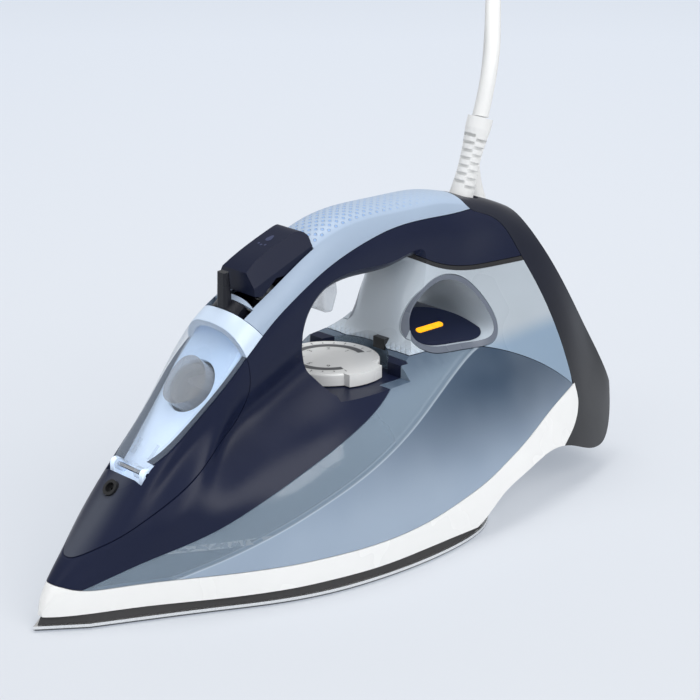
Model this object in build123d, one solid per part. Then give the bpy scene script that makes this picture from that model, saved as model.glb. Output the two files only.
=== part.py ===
"""Corded steam iron as an assembly of separate pieces, in millimetres.

The frame: +X points to the nose, +Y to the iron's left, +Z up. The origin lies under the middle of the
iron, on the surface that its soleplate rests on. Places along the iron are given by u, the distance back
from the tip of the soleplate, and side-view outlines are lists of (u, z).
"""
import os
from math import cos, hypot, pi, radians, sin, sqrt, tan

from build123d import *

# Overall
LENGTH = 316.0  # soleplate tip to the rear face of the heel
NOSE_X = LENGTH / 2
WALL = 2.5  # moulded shells
SEAM = 0.3  # gap between neighbouring shells
FIT = 0.1  # running clearance, radial
REACH = 90.0  # half-width of the side-view cutting blocks

# Body sections: u, base half-width, shoulder height, neck half-width, crest height, fullness
SECTIONS = [
    (3.5, 1.6, 8.2, 0.0, 8.2, 2.2),
    (9.0, 6.2, 18.6, 0.0, 18.6, 2.4),
    (24.0, 14.2, 33.6, 0.0, 33.6, 2.5),
    (41.0, 22.3, 50.6, 0.0, 50.6, 2.5),
    (64.0, 33.6, 60.0, 18.0, 75.0, 2.5),
    (86.0, 44.8, 62.0, 20.0, 100.0, 2.4),
    (104.0, 51.5, 70.0, 19.5, 116.5, 2.3),
    (118.0, 55.0, 76.0, 19.0, 124.5, 2.3),
    (133.0, 57.6, 81.0, 18.5, 133.5, 2.3),
    (156.0, 58.4, 84.0, 18.3, 142.8, 2.3),
    (185.0, 57.6, 86.0, 18.0, 144.5, 2.1),
    (210.0, 56.8, 92.0, 18.0, 143.8, 1.8),
    (235.0, 55.5, 110.0, 18.0, 139.0, 1.55),
    (258.0, 51.5, 118.0, 17.5, 131.8, 1.4),
    (275.0, 47.0, 125.0, 16.5, 124.0, 1.4),
    (290.0, 42.5, 119.0, 15.5, 116.0, 1.4),
    (305.0, 37.0, 110.0, 14.0, 108.0, 1.4),
    (320.0, 29.0, 100.0, 12.0, 99.0, 1.4),
]
INNER_SECTIONS = [  # more sections of the inside, so that the wall is even where the nose widens
    (32.0, 12.25, 41.3, 15.8, 41.3, 1.5),
    (51.0, 24.7, 49.3, 18.3, 61.3, 3.0),
]
SECTION_FLOOR = 5.0  # level where the body sections are closed below the skirt
FIRST_HOLLOW = 2  # index of the first hollow section: the nose in front of it is solid
CAP_HEIGHT = 25.0  # height over which the neck rounds over to the crest
CAP_FULLNESS = 2.5
BLEND = 3.0  # how softly the neck runs out into the shoulders
SAMPLES = 12  # points on each side of a section

# Side-view outlines
UNDERSIDE = [
    (196, 5.8), (203, 9.5), (212, 15), (230, 21.3), (254, 24.8), (268, 22), (284, 15.5), (298, 12.5),
]
HEEL_TOE = [(298, 12.5), (307.5, 16), (313.5, 26), (LENGTH, 37)]
HEEL_TOP = (268, 126)
SKIRT_TOP = [
    (-12, 21), (9, 18.4), (16, 16.2), (30, 15.5), (98, 16), (142, 16.4), (169, 18), (188, 21.2), (209, 26),
    (232, 34), (258, 42.2), (277.5, 47.5), (300, 52),
]
SKIRT_END = [(283, 60), (279, 48), (280, 40), (275.5, 31.5), (264, 24), (250, 10)]
DARK_EDGE = [
    (-12, 8), (18, 16.2), (39, 24), (61, 32), (82, 40.5), (106, 50.5), (133, 61.5), (153, 68.5), (170, 75.5),
    (180, 80.5),
]
TANK_TOP = [(180, 80.5), (195, 80), (210, 79.3), (225, 76.5), (243, 69.5), (259, 61), (277, 47.8), (292, 34)]
GASKET_LINE = [(196, 122), (206, 116.5), (218, 112.3), (230, 110), (245, 108.6), (275, 108)]
GASKET_HEIGHT = 1.8
HEEL_SEAM = [
    (231, 160), (231.5, 142), (234, 134.5), (241, 131), (251, 125.5), (261, 110), (268, 92), (272.5, 76),
    (276, 58), (278, 44), (280, 30),
]
GRIP_LINE = [
    (84, 87), (98, 97.5), (112, 108), (127, 117), (145, 126), (164, 132), (182, 135), (205, 135.4),
    (240, 133.8),
]
NOSE_SEAM = [
    (6, 22), (23, 30), (37, 37), (52, 46), (68, 56.5), (82, 65), (91, 70), (96, 77), (99, 90), (98, 97.5),
]
DOOR_EDGE = [(42, 51.5), (50, 57.5), (60, 64.3), (74, 76), (98, 97.5)]
COLLAR_HEAD = (88, 131)
HAND_OPENING = [
    (133.5, 82), (133.5, 92), (135.5, 101), (140, 109), (149, 114.5), (165, 116), (184, 116), (198, 118),
    (195, 109), (191, 100), (188.5, 91), (185.5, 82.5), (178, 78.6), (166, 76), (150, 74.6), (137, 74.8),
]
FLARE_FROM = 80.0  # the hand opening's edges are round above this level
FLARE_FULL = 96.0
LAMP_HOLE = [
    (192, 88), (195.5, 96.5), (201, 102.5), (209, 106), (218, 105.3), (227, 99.3), (232, 88), (229, 80.5),
    (216, 79.5), (201, 80.5), (194, 83),
]
TRIM_WIDTH = 2.4  # liner of the hole through the rear pillar
HAND_FLARE = [(0, 0), (7, 0.2), (12, 1.3), (15.5, 3.2), (18.5, 6.5)]  # side offset, growth
HOLE_FLARE = [(0, 0), (10, 0.1), (20, 0.6), (30, 1.6)]
TOP_CORNERS = [(340, 200), (-40, 200)]
LOW_CORNERS = [(340, -40), (-40, -40)]

# Lamp on the floor of that hole
LAMP_RIDGE = [(190.5, 84), (196, 88.5), (206, 91), (219, 89.5), (229, 84.5), (231.5, 79)]
LAMP_TOP = 90.0
LAMP_SLOPE = 24.0

# Soleplate and heater
SOLE_EDGE = [
    (18, 13.2), (40, 23.8), (62.6, 35), (85, 46.4), (110, 55.4), (136, 59.6), (162, 60.4), (186, 58.2),
    (206, 52.2), (220, 40.5), (228, 22),
]
SOLE_TAIL = 230.0
SOLE_PLATE = 2.2
SOLE_RIM = 0.7  # chamfer of the lower edge
CASTING_INSET = 1.2
CASTING_FLANGE = 3.2
CASTING_TOP = 14.0
CASTING_CORE_INSET = 9.0
CASTING_CORE_TAIL = 192.0
STEAM_HOLE = 3.0
STEAM_HOLE_ROWS = 9
STEAM_HOLE_FIRST = 42.0
STEAM_HOLE_PITCH = 17.0
STEAM_HOLE_MARGIN = 11.0
ELEMENT_DIAMETER = 6.6
ELEMENT_HALF_SPAN = 25.0
ELEMENT_FRONT = 84.0
ELEMENT_TAIL = 199.0
CHAMBER_COVER = 1.6
CHAMBER_HALF_WIDTH = 20.0
CHAMBER_FRONT = 98.0
CHAMBER_TAIL = 188.0

# Temperature dial and thermostat
DIAL_U = 160.5
DIAL_RADIUS = 22.5
DIAL_THICKNESS = 5.4
DIAL_GAP = 0.5  # under the dial
DIAL_TAB_RADIUS = 25.6
DIAL_TAB_WIDTH = 19.0
DECK_Z = 72.6
RECESS_GAP = 0.6  # around the sweep of the thumb tab
RECESS_FRONT = 137.0
RECESS_TAIL = 176.0
DECK_HALF_WIDTH = 29.0  # of the dark floor under the dial
DECK_TAIL = 180.0
SPINDLE_DIAMETER = 6.0
SPINDLE_TUBE = 11.0
THERMOSTAT_LENGTH = 30.0
THERMOSTAT_WIDTH = 18.0
THERMOSTAT_HEIGHT = 8.0
TANK_FLOOR_Z = 26.0
TANK_FLOOR = 2.5

# Water door
DOOR_AXIS = (51.5, 56.2)
DOOR_PIN = 2.0
DOOR_LUG = 5.0
DOOR_LUG_FROM = 4.5
DOOR_LUG_TO = 8.0
DOOR_WEB_TO = 6.4
DOOR_EAR_TO = 10.8
RIDGE_ANGLE = 48.5  # slope of the front ridge, degrees
RIDGE_POINT = (74.0, 86.2)
TRAY_DEPTH = 8.5
TRAY_THICKNESS = 2.0
PLUG_RADIUS = 11.0
PLUG_HOLE_GAP = 1.2
PLUG_ALONG = 5.0  # plug's place up the ridge from RIDGE_POINT

# Spray nozzle
NOZZLE_U = 41.0
NOZZLE_Z = 50.6
NOZZLE_DIAMETER = 7.0
NOZZLE_ORIFICE = 1.2
NOZZLE_LENGTH = 12.0
HOSE_DIAMETER = 4.0
HOSE_ROUTE = [
    (119.6, 3.9, 84.0), (110.0, 12.0, 84.0), (91.5, 11.5, 83.5), (82.0, 8.0, 54.0), (62.0, 0.0, 32.1),
    (50.4, 0.0, 42.35),
]
HOSE_BEND = 7.0

# Steam selector lever
LEVER_POINT = (111.0, 105.0)
LEVER_ANGLE = 38.0
LEVER_RADIUS = 14.2
LEVER_POST = 15.0
LEVER_TIP = (102.0, 130.0)  # where the post points to
LEVER_WIDTH = 5.0
LEVER_SWING = 24.0
LEVER_SHAFT = 4.0
BULKHEAD = 2.4
ROD_U = 108.0
ROD_DIAMETER = 5.0
ROD_FOOT = 21.0
ROD_TOP = 94.0

# Spray button and its pump
BUTTON_SIDE = [
    (109.3, 119.6), (108, 129.2), (114, 133), (123, 137), (132, 140.2), (139, 141), (141, 139), (141, 133.5),
]
BUTTON_UNDER = [(138, 129.4), (127, 125.4), (121, 125.4), (113.5, 118.9)]  # flat over the piston
BUTTON_POCKET = [(141, 128.5), (139, 127), (126, 123), (111, 114), (108, 114)]
BUTTON_HALF_WIDTH = 11.5
BUTTON_TOP_WIDTH = 12.6
BUTTON_BEVEL = 8.0  # height of the sloping sides
BUTTON_CROWN = 2.0  # rise of the rounded top over its chord
BUTTON_GAP = 0.5
PUMP_U = 124.0
PUMP_DIAMETER = 11.0
PUMP_FOOT = 80.0
PUMP_TOP = 101.0
PUMP_WALL = 1.4
PISTON_ROD = 4.0
SPRING_WIRE = 0.9
SPRING_DIAMETER = 6.6  # to the middle of the wire
SPRING_TURNS = 5
SPRING_TOP = 117.0
PISTON_TOP = BUTTON_UNDER[1][1] - FIT
SHELF = 2.5

# Steam trigger under the handle and its pump
TRIGGER_SIDE = [
    (150.5, 134), (157.5, 134), (159, 118), (160.5, 108), (158, 101), (153.5, 101.5), (152.5, 110),
    (150.5, 120),
]
TRIGGER_HALF_WIDTH = 6.0
TRIGGER_SLOT = (149.5, 166.0)  # slot that the trigger slides in
SHOT_PUMP_FROM = 167.0
SHOT_PUMP_TO = 183.0
SHOT_PUMP_Z = 124.0
SHOT_ROD_FRONT = 158.7

# Cord outlet
BALL_POINT = (239.6, 130.0)
BOOT_LEAN = 19.0  # degrees back from upright
BALL_DIAMETER = 15.0
PIVOT_DIAMETER = 4.0
PIVOT_REACH = 9.0
BOOT_FROM = 5.5
BOOT_TO = 42.6
BOOT_BASE = 11.4
BOOT_NECK = 9.4
BOOT_TIP = 11.6
BOOT_SWING = 18.0
BOOT_SLOTS = 7
CORD_DIAMETER = 7.0
CORD_GAP = 0.5  # between the boot's tip and the cord
COIL_AT = (362.1, -101.7)
COIL_INNER = 25.5
COIL_ACROSS = 4  # turns side by side
COIL_HIGH = 2  # turns on each other
CORD_ROUTE = [
    (261.4, -0.8, 193.4), (273.2, -12.1, 211.0), (290.2, -28.4, 217.8), (307.6, -45.1, 211.3),
    (320.6, -57.6, 192.6), (325.5, -64.5, 163.6), (323.3, -74.9, 125.2), (326.2, -63.0, 90.5),
    (334.6, -58.3, 63.6), (329.3, -62.4, 36.5), (316.8, -79.2, 17.3), (312.3, -106.1, 10.5),
]
TAIL_ROUTE = [(341.0, -56.4, 3.7), (324.5, -62.0, 6.5), (308.0, -65.6, 10.6), (291.3, -66.0, 12.2)]
PLUG_AT = (291.0, -66.0)
PLUG_LENGTH = 44.0
PLUG_SIZES = [  # distance from the cord, width, height
    (0.0, 11.0, 11.0), (16.0, 15.0, 14.0), (28.0, 27.0, 20.0), (PLUG_LENGTH, 28.0, 24.0),
]
PLUG_PIN = 4.8
PLUG_PIN_LENGTH = 19.0
PLUG_PIN_PITCH = 19.0
PLUG_AXIS_Z = 12.2

# Heel
BOARD_LENGTH = 40.0
BOARD_WIDTH = 30.0
BOARD_THICKNESS = 1.6
BOARD_STANDOFF = 5.0
BOSS_DIAMETER = 6.0
PANEL_LENGTH = 74.0
PANEL_WIDTH = 40.0
PANEL_THICKNESS = 1.6
PANEL_PROUD = 0.6
SCREW_HEAD = 6.0
SCREW_SHANK = 3.0


def at(u, z, y=0.0):
    """A point of the model from its place behind the nose, its height and its side offset."""
    return Vector(NOSE_X - u, y, z)


def across(edges):
    """A side-view outline carried across the whole width."""
    return extrude(make_face(edges), amount=REACH, dir=(0, 1, 0), both=True)


def block(line, corners, shift=(0.0, 0.0)):
    """The part of the side view between a curved line and the corners that close it."""
    moved = [at(u + shift[0], z + shift[1]) for u, z in line]
    frame = [moved[-1]] + [at(u, z) for u, z in corners] + [moved[0]]
    return across([Spline(*moved), Polyline(*frame)])


def polygon(points):
    """A straight-sided side-view outline carried across the whole width."""
    return across([Polyline(*[at(u, z) for u, z in points], close=True)])


def rod(start, end, diameter):
    """A round bar between two points."""
    path = end - start
    place = Plane(origin=start, z_dir=path)
    return place * Cylinder(diameter / 2, path.length, align=(Align.CENTER, Align.CENTER, Align.MIN))


def bar(u, z, diameter, y_from, y_to):
    """A round bar that lies across the iron."""
    return rod(at(u, z, y_from), at(u, z, y_to), diameter)


def box(u_from, u_to, y_half, z_from, z_to):
    """A block that is centred across the iron."""
    middle = at((u_from + u_to) / 2, (z_from + z_to) / 2)
    return Pos(middle) * Box(u_to - u_from, 2 * y_half, z_to - z_from)


# Body surface


def slopes(table, index, column):
    """How much longer the surface is than its run at a section, from the sections beside it."""
    before = table[max(index - 1, 0)]
    after = table[min(index + 1, len(table) - 1)]
    rise = (after[column] - before[column]) / (after[0] - before[0])
    return sqrt(1 + rise * rise)


def half_width(z, base, shoulder, neck, crest, fullness):
    """Half-width of a section at a height: an arch at the bottom and a round-topped neck, blended."""
    low = min(max((z - SECTION_FLOOR) / (shoulder - SECTION_FLOOR), 0.0), 1.0)
    arch = base * (1 - low**fullness) ** (1 / fullness)
    high = min(max((z - crest + CAP_HEIGHT) / CAP_HEIGHT, 0.0), 1.0)
    post = neck * (1 - high**CAP_FULLNESS) ** (1 / CAP_FULLNESS)
    return (arch**BLEND + post**BLEND) ** (1 / BLEND)


def section(table, index, inset):
    """One closed section of the body, drawn inside the outer surface by an inset."""
    u, base, shoulder, neck, crest, fullness = table[index]
    drop = inset * slopes(table, index, 4)
    side = inset * slopes(table, index, 1)
    floor = SECTION_FLOOR - (1.0 if inset > 0 else 0.0)
    sizes = (base - side, shoulder - drop, max(neck - inset, 0.0), crest - drop, fullness)
    heights = [floor + (sizes[3] - floor) * sin(pi / 2 * i / SAMPLES) for i in range(SAMPLES)]
    left = [(half_width(z, *sizes), z) for z in heights]
    points = [at(u, z, y) for y, z in left] + [at(u, sizes[3])] + [at(u, z, -y) for y, z in reversed(left)]
    steps = [i / (2 * SAMPLES) for i in range(2 * SAMPLES + 1)]
    return make_face([Edge.make_spline(points, parameters=steps), Line(points[-1], points[0])])


def body_loft(inset=0.0):
    """The whole body without its openings."""
    table, first = SECTIONS, 0
    if inset > 0:
        table, first = sorted(SECTIONS + INNER_SECTIONS), FIRST_HOLLOW
    return loft([section(table, i, inset) for i in range(first, len(table))])


def heel_line(inset):
    """The flat rear face and the rounded heel under it, as one closed side-view outline."""
    along = Vector(HEEL_TOE[-1][0] - HEEL_TOP[0], HEEL_TOE[-1][1] - HEEL_TOP[1]).normalized()
    du, dz = along.Y * inset, -along.X * inset
    toe = []
    for k, (u, z) in enumerate(HEEL_TOE[:-1]):
        toe.append(at(u - inset * (k + 1) / 4, z + inset * (3 - k) / 3 + dz * k / 3))
    toe.append(at(HEEL_TOE[-1][0] + du, HEEL_TOE[-1][1] + dz))
    under = [at(u, z + inset) for u, z in UNDERSIDE[:-1]] + [toe[0]]
    tip = along * -60
    head = at(HEEL_TOP[0] + du + tip.X, HEEL_TOP[1] + dz + tip.Y)
    low = -30.0 if inset > 0 else UNDERSIDE[0][1]
    front = at(-20, low)
    start = at(UNDERSIDE[0][0], low)
    lines = [Spline(*under), Spline(*toe), Polyline(toe[-1], head, at(-20, 200), front, start)]
    if inset > 0:
        lines.append(Line(start, under[0]))
    return across(lines)


def grown(outline, amount, flare=0.0):
    """A closed side-view outline moved outwards by an amount, and by a flare where it is high enough."""
    moved = []
    for i, (u, z) in enumerate(outline):
        before, after = outline[i - 1], outline[(i + 1) % len(outline)]
        du, dz = after[0] - before[0], after[1] - before[1]
        size = hypot(du, dz)
        share = min(max((z - FLARE_FROM) / (FLARE_FULL - FLARE_FROM), 0.0), 1.0)
        step = (amount + flare * share) / size
        moved.append((u - dz * step, z + du * step))
    return moved


def loop_face(outline, y, amount=0.0, flare=0.0):
    """The face inside a closed, smooth side-view outline at a side offset."""
    points = [at(u, z, y) for u, z in grown(outline, amount, flare)]
    steps = [i / len(points) for i in range(len(points) + 1)]
    return make_face(Edge.make_spline(points, periodic=True, parameters=steps))


def tunnel(outline, flare, amount=0.0):
    """A hole through the body whose edges round out towards both sides, given by (offset, growth) pairs."""
    half = loft([loop_face(outline, y, amount, growth) for y, growth in flare])
    last_y, last_growth = flare[-1]
    outer = extrude(loop_face(outline, last_y, amount, last_growth), amount=REACH - last_y, dir=(0, 1, 0))
    side = half + outer
    return side + mirror(side, Plane.XZ)


def dial_recess(amount=0.0):
    """Sunk seat of the temperature dial, open to both sides of the deck."""
    radius = DIAL_TAB_RADIUS + RECESS_GAP + amount
    floor = DECK_Z - amount
    seat = rod(at(DIAL_U, floor), at(DIAL_U, FLARE_FULL), 2 * radius)
    return seat + box(RECESS_FRONT - amount, RECESS_TAIL + amount, REACH, floor, FLARE_FULL)


def openings(amount=0.0):
    """Everything that is cut through or into the body, grown by an amount."""
    return [
        tunnel(HAND_OPENING, HAND_FLARE, amount),
        tunnel(LAMP_HOLE, HOLE_FLARE, amount),
        dial_recess(amount),
    ]


def hollow_body():
    """The shell of the body, its inside and its whole outside."""
    outer = body_loft() & heel_line(0.0)
    for cut in openings():
        outer -= cut
    inside = body_loft(WALL) & heel_line(WALL)
    for cut in openings(WALL):
        inside -= cut
    return outer - inside, inside, outer


# Shells cut from the body


def skirt_shell(shell):
    """White skirt around the heater, closed underneath behind the soleplate."""
    low = block(SKIRT_TOP, LOW_CORNERS, (0, -SEAM / 2))
    front = block(SKIRT_END, [(250, -40), (-40, -40), (-40, 60)], (-SEAM / 2, 0))
    return shell & (low & front)


def heel_area(shift=0.0):
    """Side-view area behind the seams of the heel cover."""
    upper = block(HEEL_SEAM, [(280, -40), (360, -40), (360, 200), (231, 200)], (shift, 0))
    lower = block(SKIRT_END, [(250, -40), (360, -40), (360, 60)], (shift, 0))
    ahead = block(SKIRT_TOP, LOW_CORNERS)
    return (upper - ahead) + (lower & ahead)


def heel_cover(shell):
    """Rear cover with the cord outlet on top and a flat face that the iron stands on."""
    cover = shell & heel_area(SEAM / 2)
    boss = Cylinder(BOSS_DIAMETER / 2, BOARD_STANDOFF, align=(Align.CENTER, Align.CENTER, Align.MAX))
    boss -= Pos(0, 0, -BOARD_STANDOFF) * Cylinder(SCREW_SHANK / 2, 2 * BOARD_STANDOFF - 2)
    for place in board_places(-WALL):
        cover += place * boss
    outlet = [boot_line(0.0, angle) for angle in (-BOOT_SWING, 0.0, BOOT_SWING)]
    for start, end in outlet:
        cover -= rod(start, end, BOOT_BASE + 2 * BUTTON_GAP)
    cover -= Pos(at(*BALL_POINT)) * Sphere(BALL_DIAMETER / 2 + SEAM)
    return cover - heel_place() * panel_blank(FIT, PANEL_THICKNESS - PANEL_PROUD)


def deck_area(gap):
    """Block around the dark floor under the dial."""
    return box(130, DECK_TAIL + gap, DECK_HALF_WIDTH + gap, DECK_Z - WALL - 0.5 - gap, 96)


def tank_shell(shell):
    """Translucent water tank between the skirt, the dark wings and the heel."""
    sky = [(292, -40), (-40, -40), (-40, 8)]
    dark = [at(u, z - SEAM / 2) for u, z in DARK_EDGE]
    top = [at(u, z - SEAM / 2) for u, z in TANK_TOP]
    corners = [top[-1]] + [at(u, z) for u, z in sky] + [dark[0]]
    under = across([Spline(*dark), Spline(*top), Polyline(*corners)])
    over = block(SKIRT_TOP, TOP_CORNERS, (0, SEAM / 2))
    area = (under & over) - heel_area(-SEAM / 2) - deck_area(SEAM)
    return (shell & area) - tunnel(LAMP_HOLE, HOLE_FLARE, TRIM_WIDTH + SEAM / 2)


def dark_line(shift):
    """Edge of the dark shells: over the tank, up through the hand opening and over the gasket."""
    dark = [at(u, z + shift) for u, z in DARK_EDGE]
    band = [at(u, z + shift) for u, z in GASKET_LINE]
    link = Polyline(dark[-1], at(185, 98), at(192, 114), band[0])
    return [Spline(*dark), link, Spline(*band)], dark[0], band[-1]


def dark_area(shift):
    """Side-view area above the edge of the dark shells."""
    lines, first, last = dark_line(shift)
    return across(lines + [Polyline(last, at(340, 108), at(340, 200), at(-40, 200), at(-40, 8), first)])


def nose_area(shift=0.0):
    """Side-view area of the nose cover and the door."""
    return block(NOSE_SEAM, [COLLAR_HEAD, (-40, 131), (-40, 22)], (-shift, shift))


def door_area(shift=0.0):
    """Side-view area of the water door."""
    return block(DOOR_EDGE, [COLLAR_HEAD, (-40, 131), (-40, 51.5)], (-shift, shift))


def nose_cover(shell):
    """Dark centre of the nose, with the door's frame and the seat of the spray nozzle."""
    area = nose_area(SEAM / 2) & dark_area(SEAM / 2)
    area -= block(SKIRT_TOP, LOW_CORNERS, (0, SEAM / 2))
    cover = shell & (area - door_area(-SEAM / 2))
    cover -= bar(*DOOR_AXIS, DOOR_LUG + 10 * BUTTON_GAP, -DOOR_EAR_TO - 1, DOOR_EAR_TO + 1)
    seat, mouth = nozzle_line()
    return cover - rod(seat, mouth, NOZZLE_DIAMETER + 2 * FIT)


def slot_lines(offset):
    """A side-view line across the column at a distance along the lever's shaft."""
    du, dz = cos(radians(LEVER_ANGLE)), sin(radians(LEVER_ANGLE))
    u, z = LEVER_POINT[0] + du * offset, LEVER_POINT[1] + dz * offset
    return (u - dz * 40, z + du * 40), (u + dz * 22, z - du * 22)


def lever_slot():
    """Slot across the top of the column that the selector lever swings in."""
    half = LEVER_WIDTH / 2 + BUTTON_GAP
    front_top, front_low = slot_lines(-half)
    back_top, back_low = slot_lines(half)
    return polygon([front_top, front_low, back_low, back_top]) & box(80, 140, 12.5, 108, 150)


def button_pocket(gap):
    """Pocket in the top of the handle that the spray button sinks into."""
    back, front = BUTTON_POCKET[0][0] + gap, BUTTON_POCKET[-1][0] - gap
    low = [(back, 131)] + [(u, z - gap) for u, z in BUTTON_POCKET] + [(front, BUTTON_POCKET[-1][1] - gap)]
    side_view = polygon(low + [(front, 160), (back, 160)])
    return side_view & box(90, 160, BUTTON_HALF_WIDTH + gap, 100, 170)


def front_area(offset):
    """Side-view area in front of the selector lever's slot."""
    top, low = slot_lines(offset - LEVER_WIDTH / 2 - BUTTON_GAP)
    return polygon([top, low, (84, 84), (60, 131), (70, 160)])


def top_area(shift):
    """Side-view area above the seam between the grip and the dark handle."""
    return block(GRIP_LINE, [(240, 200), (84, 200)], (0, shift))


def collar_shell(shell):
    """Light collar in front of the selector lever."""
    return shell & ((top_area(SEAM / 2) & front_area(0.0)) - nose_area(-SEAM / 2))


def grip_shell(shell):
    """Soft-touch top of the handle with the pockets for the lever and the button."""
    area = top_area(SEAM / 2) - front_area(SEAM) - heel_area(-SEAM / 2)
    return (shell & area) - lever_slot() - button_pocket(BUTTON_GAP)


def handle_shell(shell):
    """Dark column, wings and underside of the handle in one moulding."""
    area = dark_area(SEAM / 2) - block(SKIRT_TOP, LOW_CORNERS, (0, SEAM / 2)) + deck_area(0.0)
    area = area - top_area(-SEAM / 2) - nose_area(-SEAM / 2) - heel_area(-SEAM / 2)
    slot = box(*TRIGGER_SLOT, TRIGGER_HALF_WIDTH + BUTTON_GAP, 108, 126)
    return (shell & area) - slot - spindle_bore() - button_pocket(BUTTON_GAP)


def pillar_shell(shell):
    """Frosted rear pillar with the deck in front of it."""
    tank_line = [at(u, z + SEAM / 2) for u, z in TANK_TOP]
    wall = Polyline(tank_line[-1], at(340, 34), at(340, 200), at(178, 200), tank_line[0])
    area = across([Spline(*tank_line), wall]) & box(DECK_TAIL + SEAM, 276.8, REACH, 40, 200)
    area = area - dark_area(-GASKET_HEIGHT - SEAM) - heel_area(-SEAM / 2)
    return (shell & area) - tunnel(LAMP_HOLE, HOLE_FLARE, TRIM_WIDTH + SEAM / 2)


def pillar_gasket(shell):
    """Black band between the dark handle and the pillar."""
    area = dark_area(-GASKET_HEIGHT - SEAM / 2) - dark_area(-SEAM / 2) - heel_area(-SEAM / 2)
    return shell & (area & box(190, 300, REACH, 100, 160))


def hole_trim(shell):
    """Liner of the hole through the rear pillar."""
    return shell & tunnel(LAMP_HOLE, HOLE_FLARE, TRIM_WIDTH - SEAM / 2)


# Cord


def boot_line(start, swing=0.0):
    """A line along the boot from a distance above the ball's centre, leaning by the swing as well."""
    lean = radians(BOOT_LEAN + swing)
    way = Vector(-sin(lean), 0, cos(lean))
    centre = at(*BALL_POINT)
    return centre + way * start, centre + way * BOOT_TO


def heel_place():
    """Plane of the flat rear face, with its normal to the outside and its second axis up the face."""
    along = Vector(HEEL_TOP[0] - HEEL_TOE[-1][0], HEEL_TOP[1] - HEEL_TOE[-1][1]).normalized()
    middle = at((HEEL_TOP[0] + HEEL_TOE[-1][0]) / 2, (HEEL_TOP[1] + HEEL_TOE[-1][1]) / 2)
    return Plane(origin=middle, x_dir=(0, -1, 0), z_dir=(-along.Y, 0, -along.X))


def board_places(depth):
    """Places of the board's bosses on the rear face, at a depth."""
    wide, long = BOARD_WIDTH * 0.36, BOARD_LENGTH * 0.36
    return [heel_place() * Pos(x, y, depth) for x in (-wide, wide) for y in (-long, long)]


def panel_blank(gap, depth):
    """Leaf-shaped blank of the rear panel, sunk by a depth."""
    half, long = PANEL_WIDTH / 2 + gap, PANEL_LENGTH / 2 + gap
    right = [(half * 0.62, long * 0.35), (half, -long * 0.45), (half * 0.55, -long * 0.9)]
    left = [(-x, y) for x, y in reversed(right)]
    leaf = make_face(Spline((0, long), *right, (0, -long), *left, periodic=True))
    return Pos(0, 0, -depth) * extrude(leaf, amount=depth + PANEL_PROUD)


def nozzle_line():
    """Back and front ends of the spray nozzle."""
    way = Vector(sin(radians(RIDGE_ANGLE)), 0, cos(radians(RIDGE_ANGLE)))
    tip = at(NOZZLE_U, NOZZLE_Z)
    return tip - way * NOZZLE_LENGTH, tip + way * 1.0


def spindle_bore():
    """Bore through the deck for the thermostat spindle."""
    return rod(at(DIAL_U, 20), at(DIAL_U, 100), SPINDLE_DIAMETER + 6 * FIT)


# Soleplate and heater


def sole_points(inset):
    """Left edge of the soleplate from the tip to the tail, drawn inside by an inset."""
    edge = [(0.0, 0.0)] + SOLE_EDGE + [(SOLE_TAIL, 0.0)]
    moved = []
    for i in range(1, len(edge) - 1):
        du, dy = edge[i + 1][0] - edge[i - 1][0], edge[i + 1][1] - edge[i - 1][1]
        size = hypot(du, dy)
        moved.append((edge[i][0] + dy / size * inset, edge[i][1] - du / size * inset))
    tip = inset / sin(radians(36.0))
    return [(tip, 0.0)] + moved + [(SOLE_TAIL - inset, 0.0)]


def sole_face(inset, z):
    """Outline of the soleplate at a height."""
    left = sole_points(inset)
    tip, tail = left[0], left[-1]
    points = [at(u, z, y) for u, y in left[1:]] + [at(u, z, -y) for u, y in reversed(left[1:-1])]
    return make_face([Spline(*points), Polyline(points[-1], at(tip[0], z), points[0])])


def steam_holes():
    """Steam holes in two rows along the sides and a pair of rows inside them."""
    holes = []
    top = CASTING_FLANGE + SOLE_PLATE
    for i in range(STEAM_HOLE_ROWS):
        u = STEAM_HOLE_FIRST + i * STEAM_HOLE_PITCH
        edge = half_sole(u)
        for y in (edge - STEAM_HOLE_MARGIN, edge - 2.1 * STEAM_HOLE_MARGIN):
            if y > STEAM_HOLE:
                holes += [rod(at(u, -1, side), at(u, top, side), STEAM_HOLE) for side in (-y, y)]
    return holes


def half_sole(u):
    """Half-width of the soleplate at a place, along its straight-sided outline."""
    edge = [(0.0, 0.0)] + SOLE_EDGE + [(SOLE_TAIL, 0.0)]
    for (u0, y0), (u1, y1) in zip(edge, edge[1:]):
        if u0 <= u <= u1:
            return y0 + (y1 - y0) * (u - u0) / (u1 - u0)
    return 0.0


def soleplate():
    """Polished plate with a bevelled lower edge and steam holes."""
    plate = extrude(sole_face(0.0, SOLE_RIM), amount=SOLE_PLATE - SOLE_RIM, dir=(0, 0, 1))
    plate += loft([sole_face(SOLE_RIM, 0.0), sole_face(0.0, SOLE_RIM)])
    return plate - steam_holes()


def element_path():
    """Centre line of the heating element, level with the top of the casting."""
    half, z = ELEMENT_HALF_SPAN, CASTING_TOP
    corners = [(ELEMENT_TAIL, half), (ELEMENT_FRONT, half), (ELEMENT_FRONT, -half), (ELEMENT_TAIL, -half)]
    return FilletPolyline(*[at(u, z, y) for u, y in corners], radius=half * 0.9)


def element_tube(diameter):
    """A tube along the heating element's centre line."""
    path = element_path()
    return sweep(Plane(origin=path @ 0, z_dir=path % 0) * Circle(diameter / 2), path=path)


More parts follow.
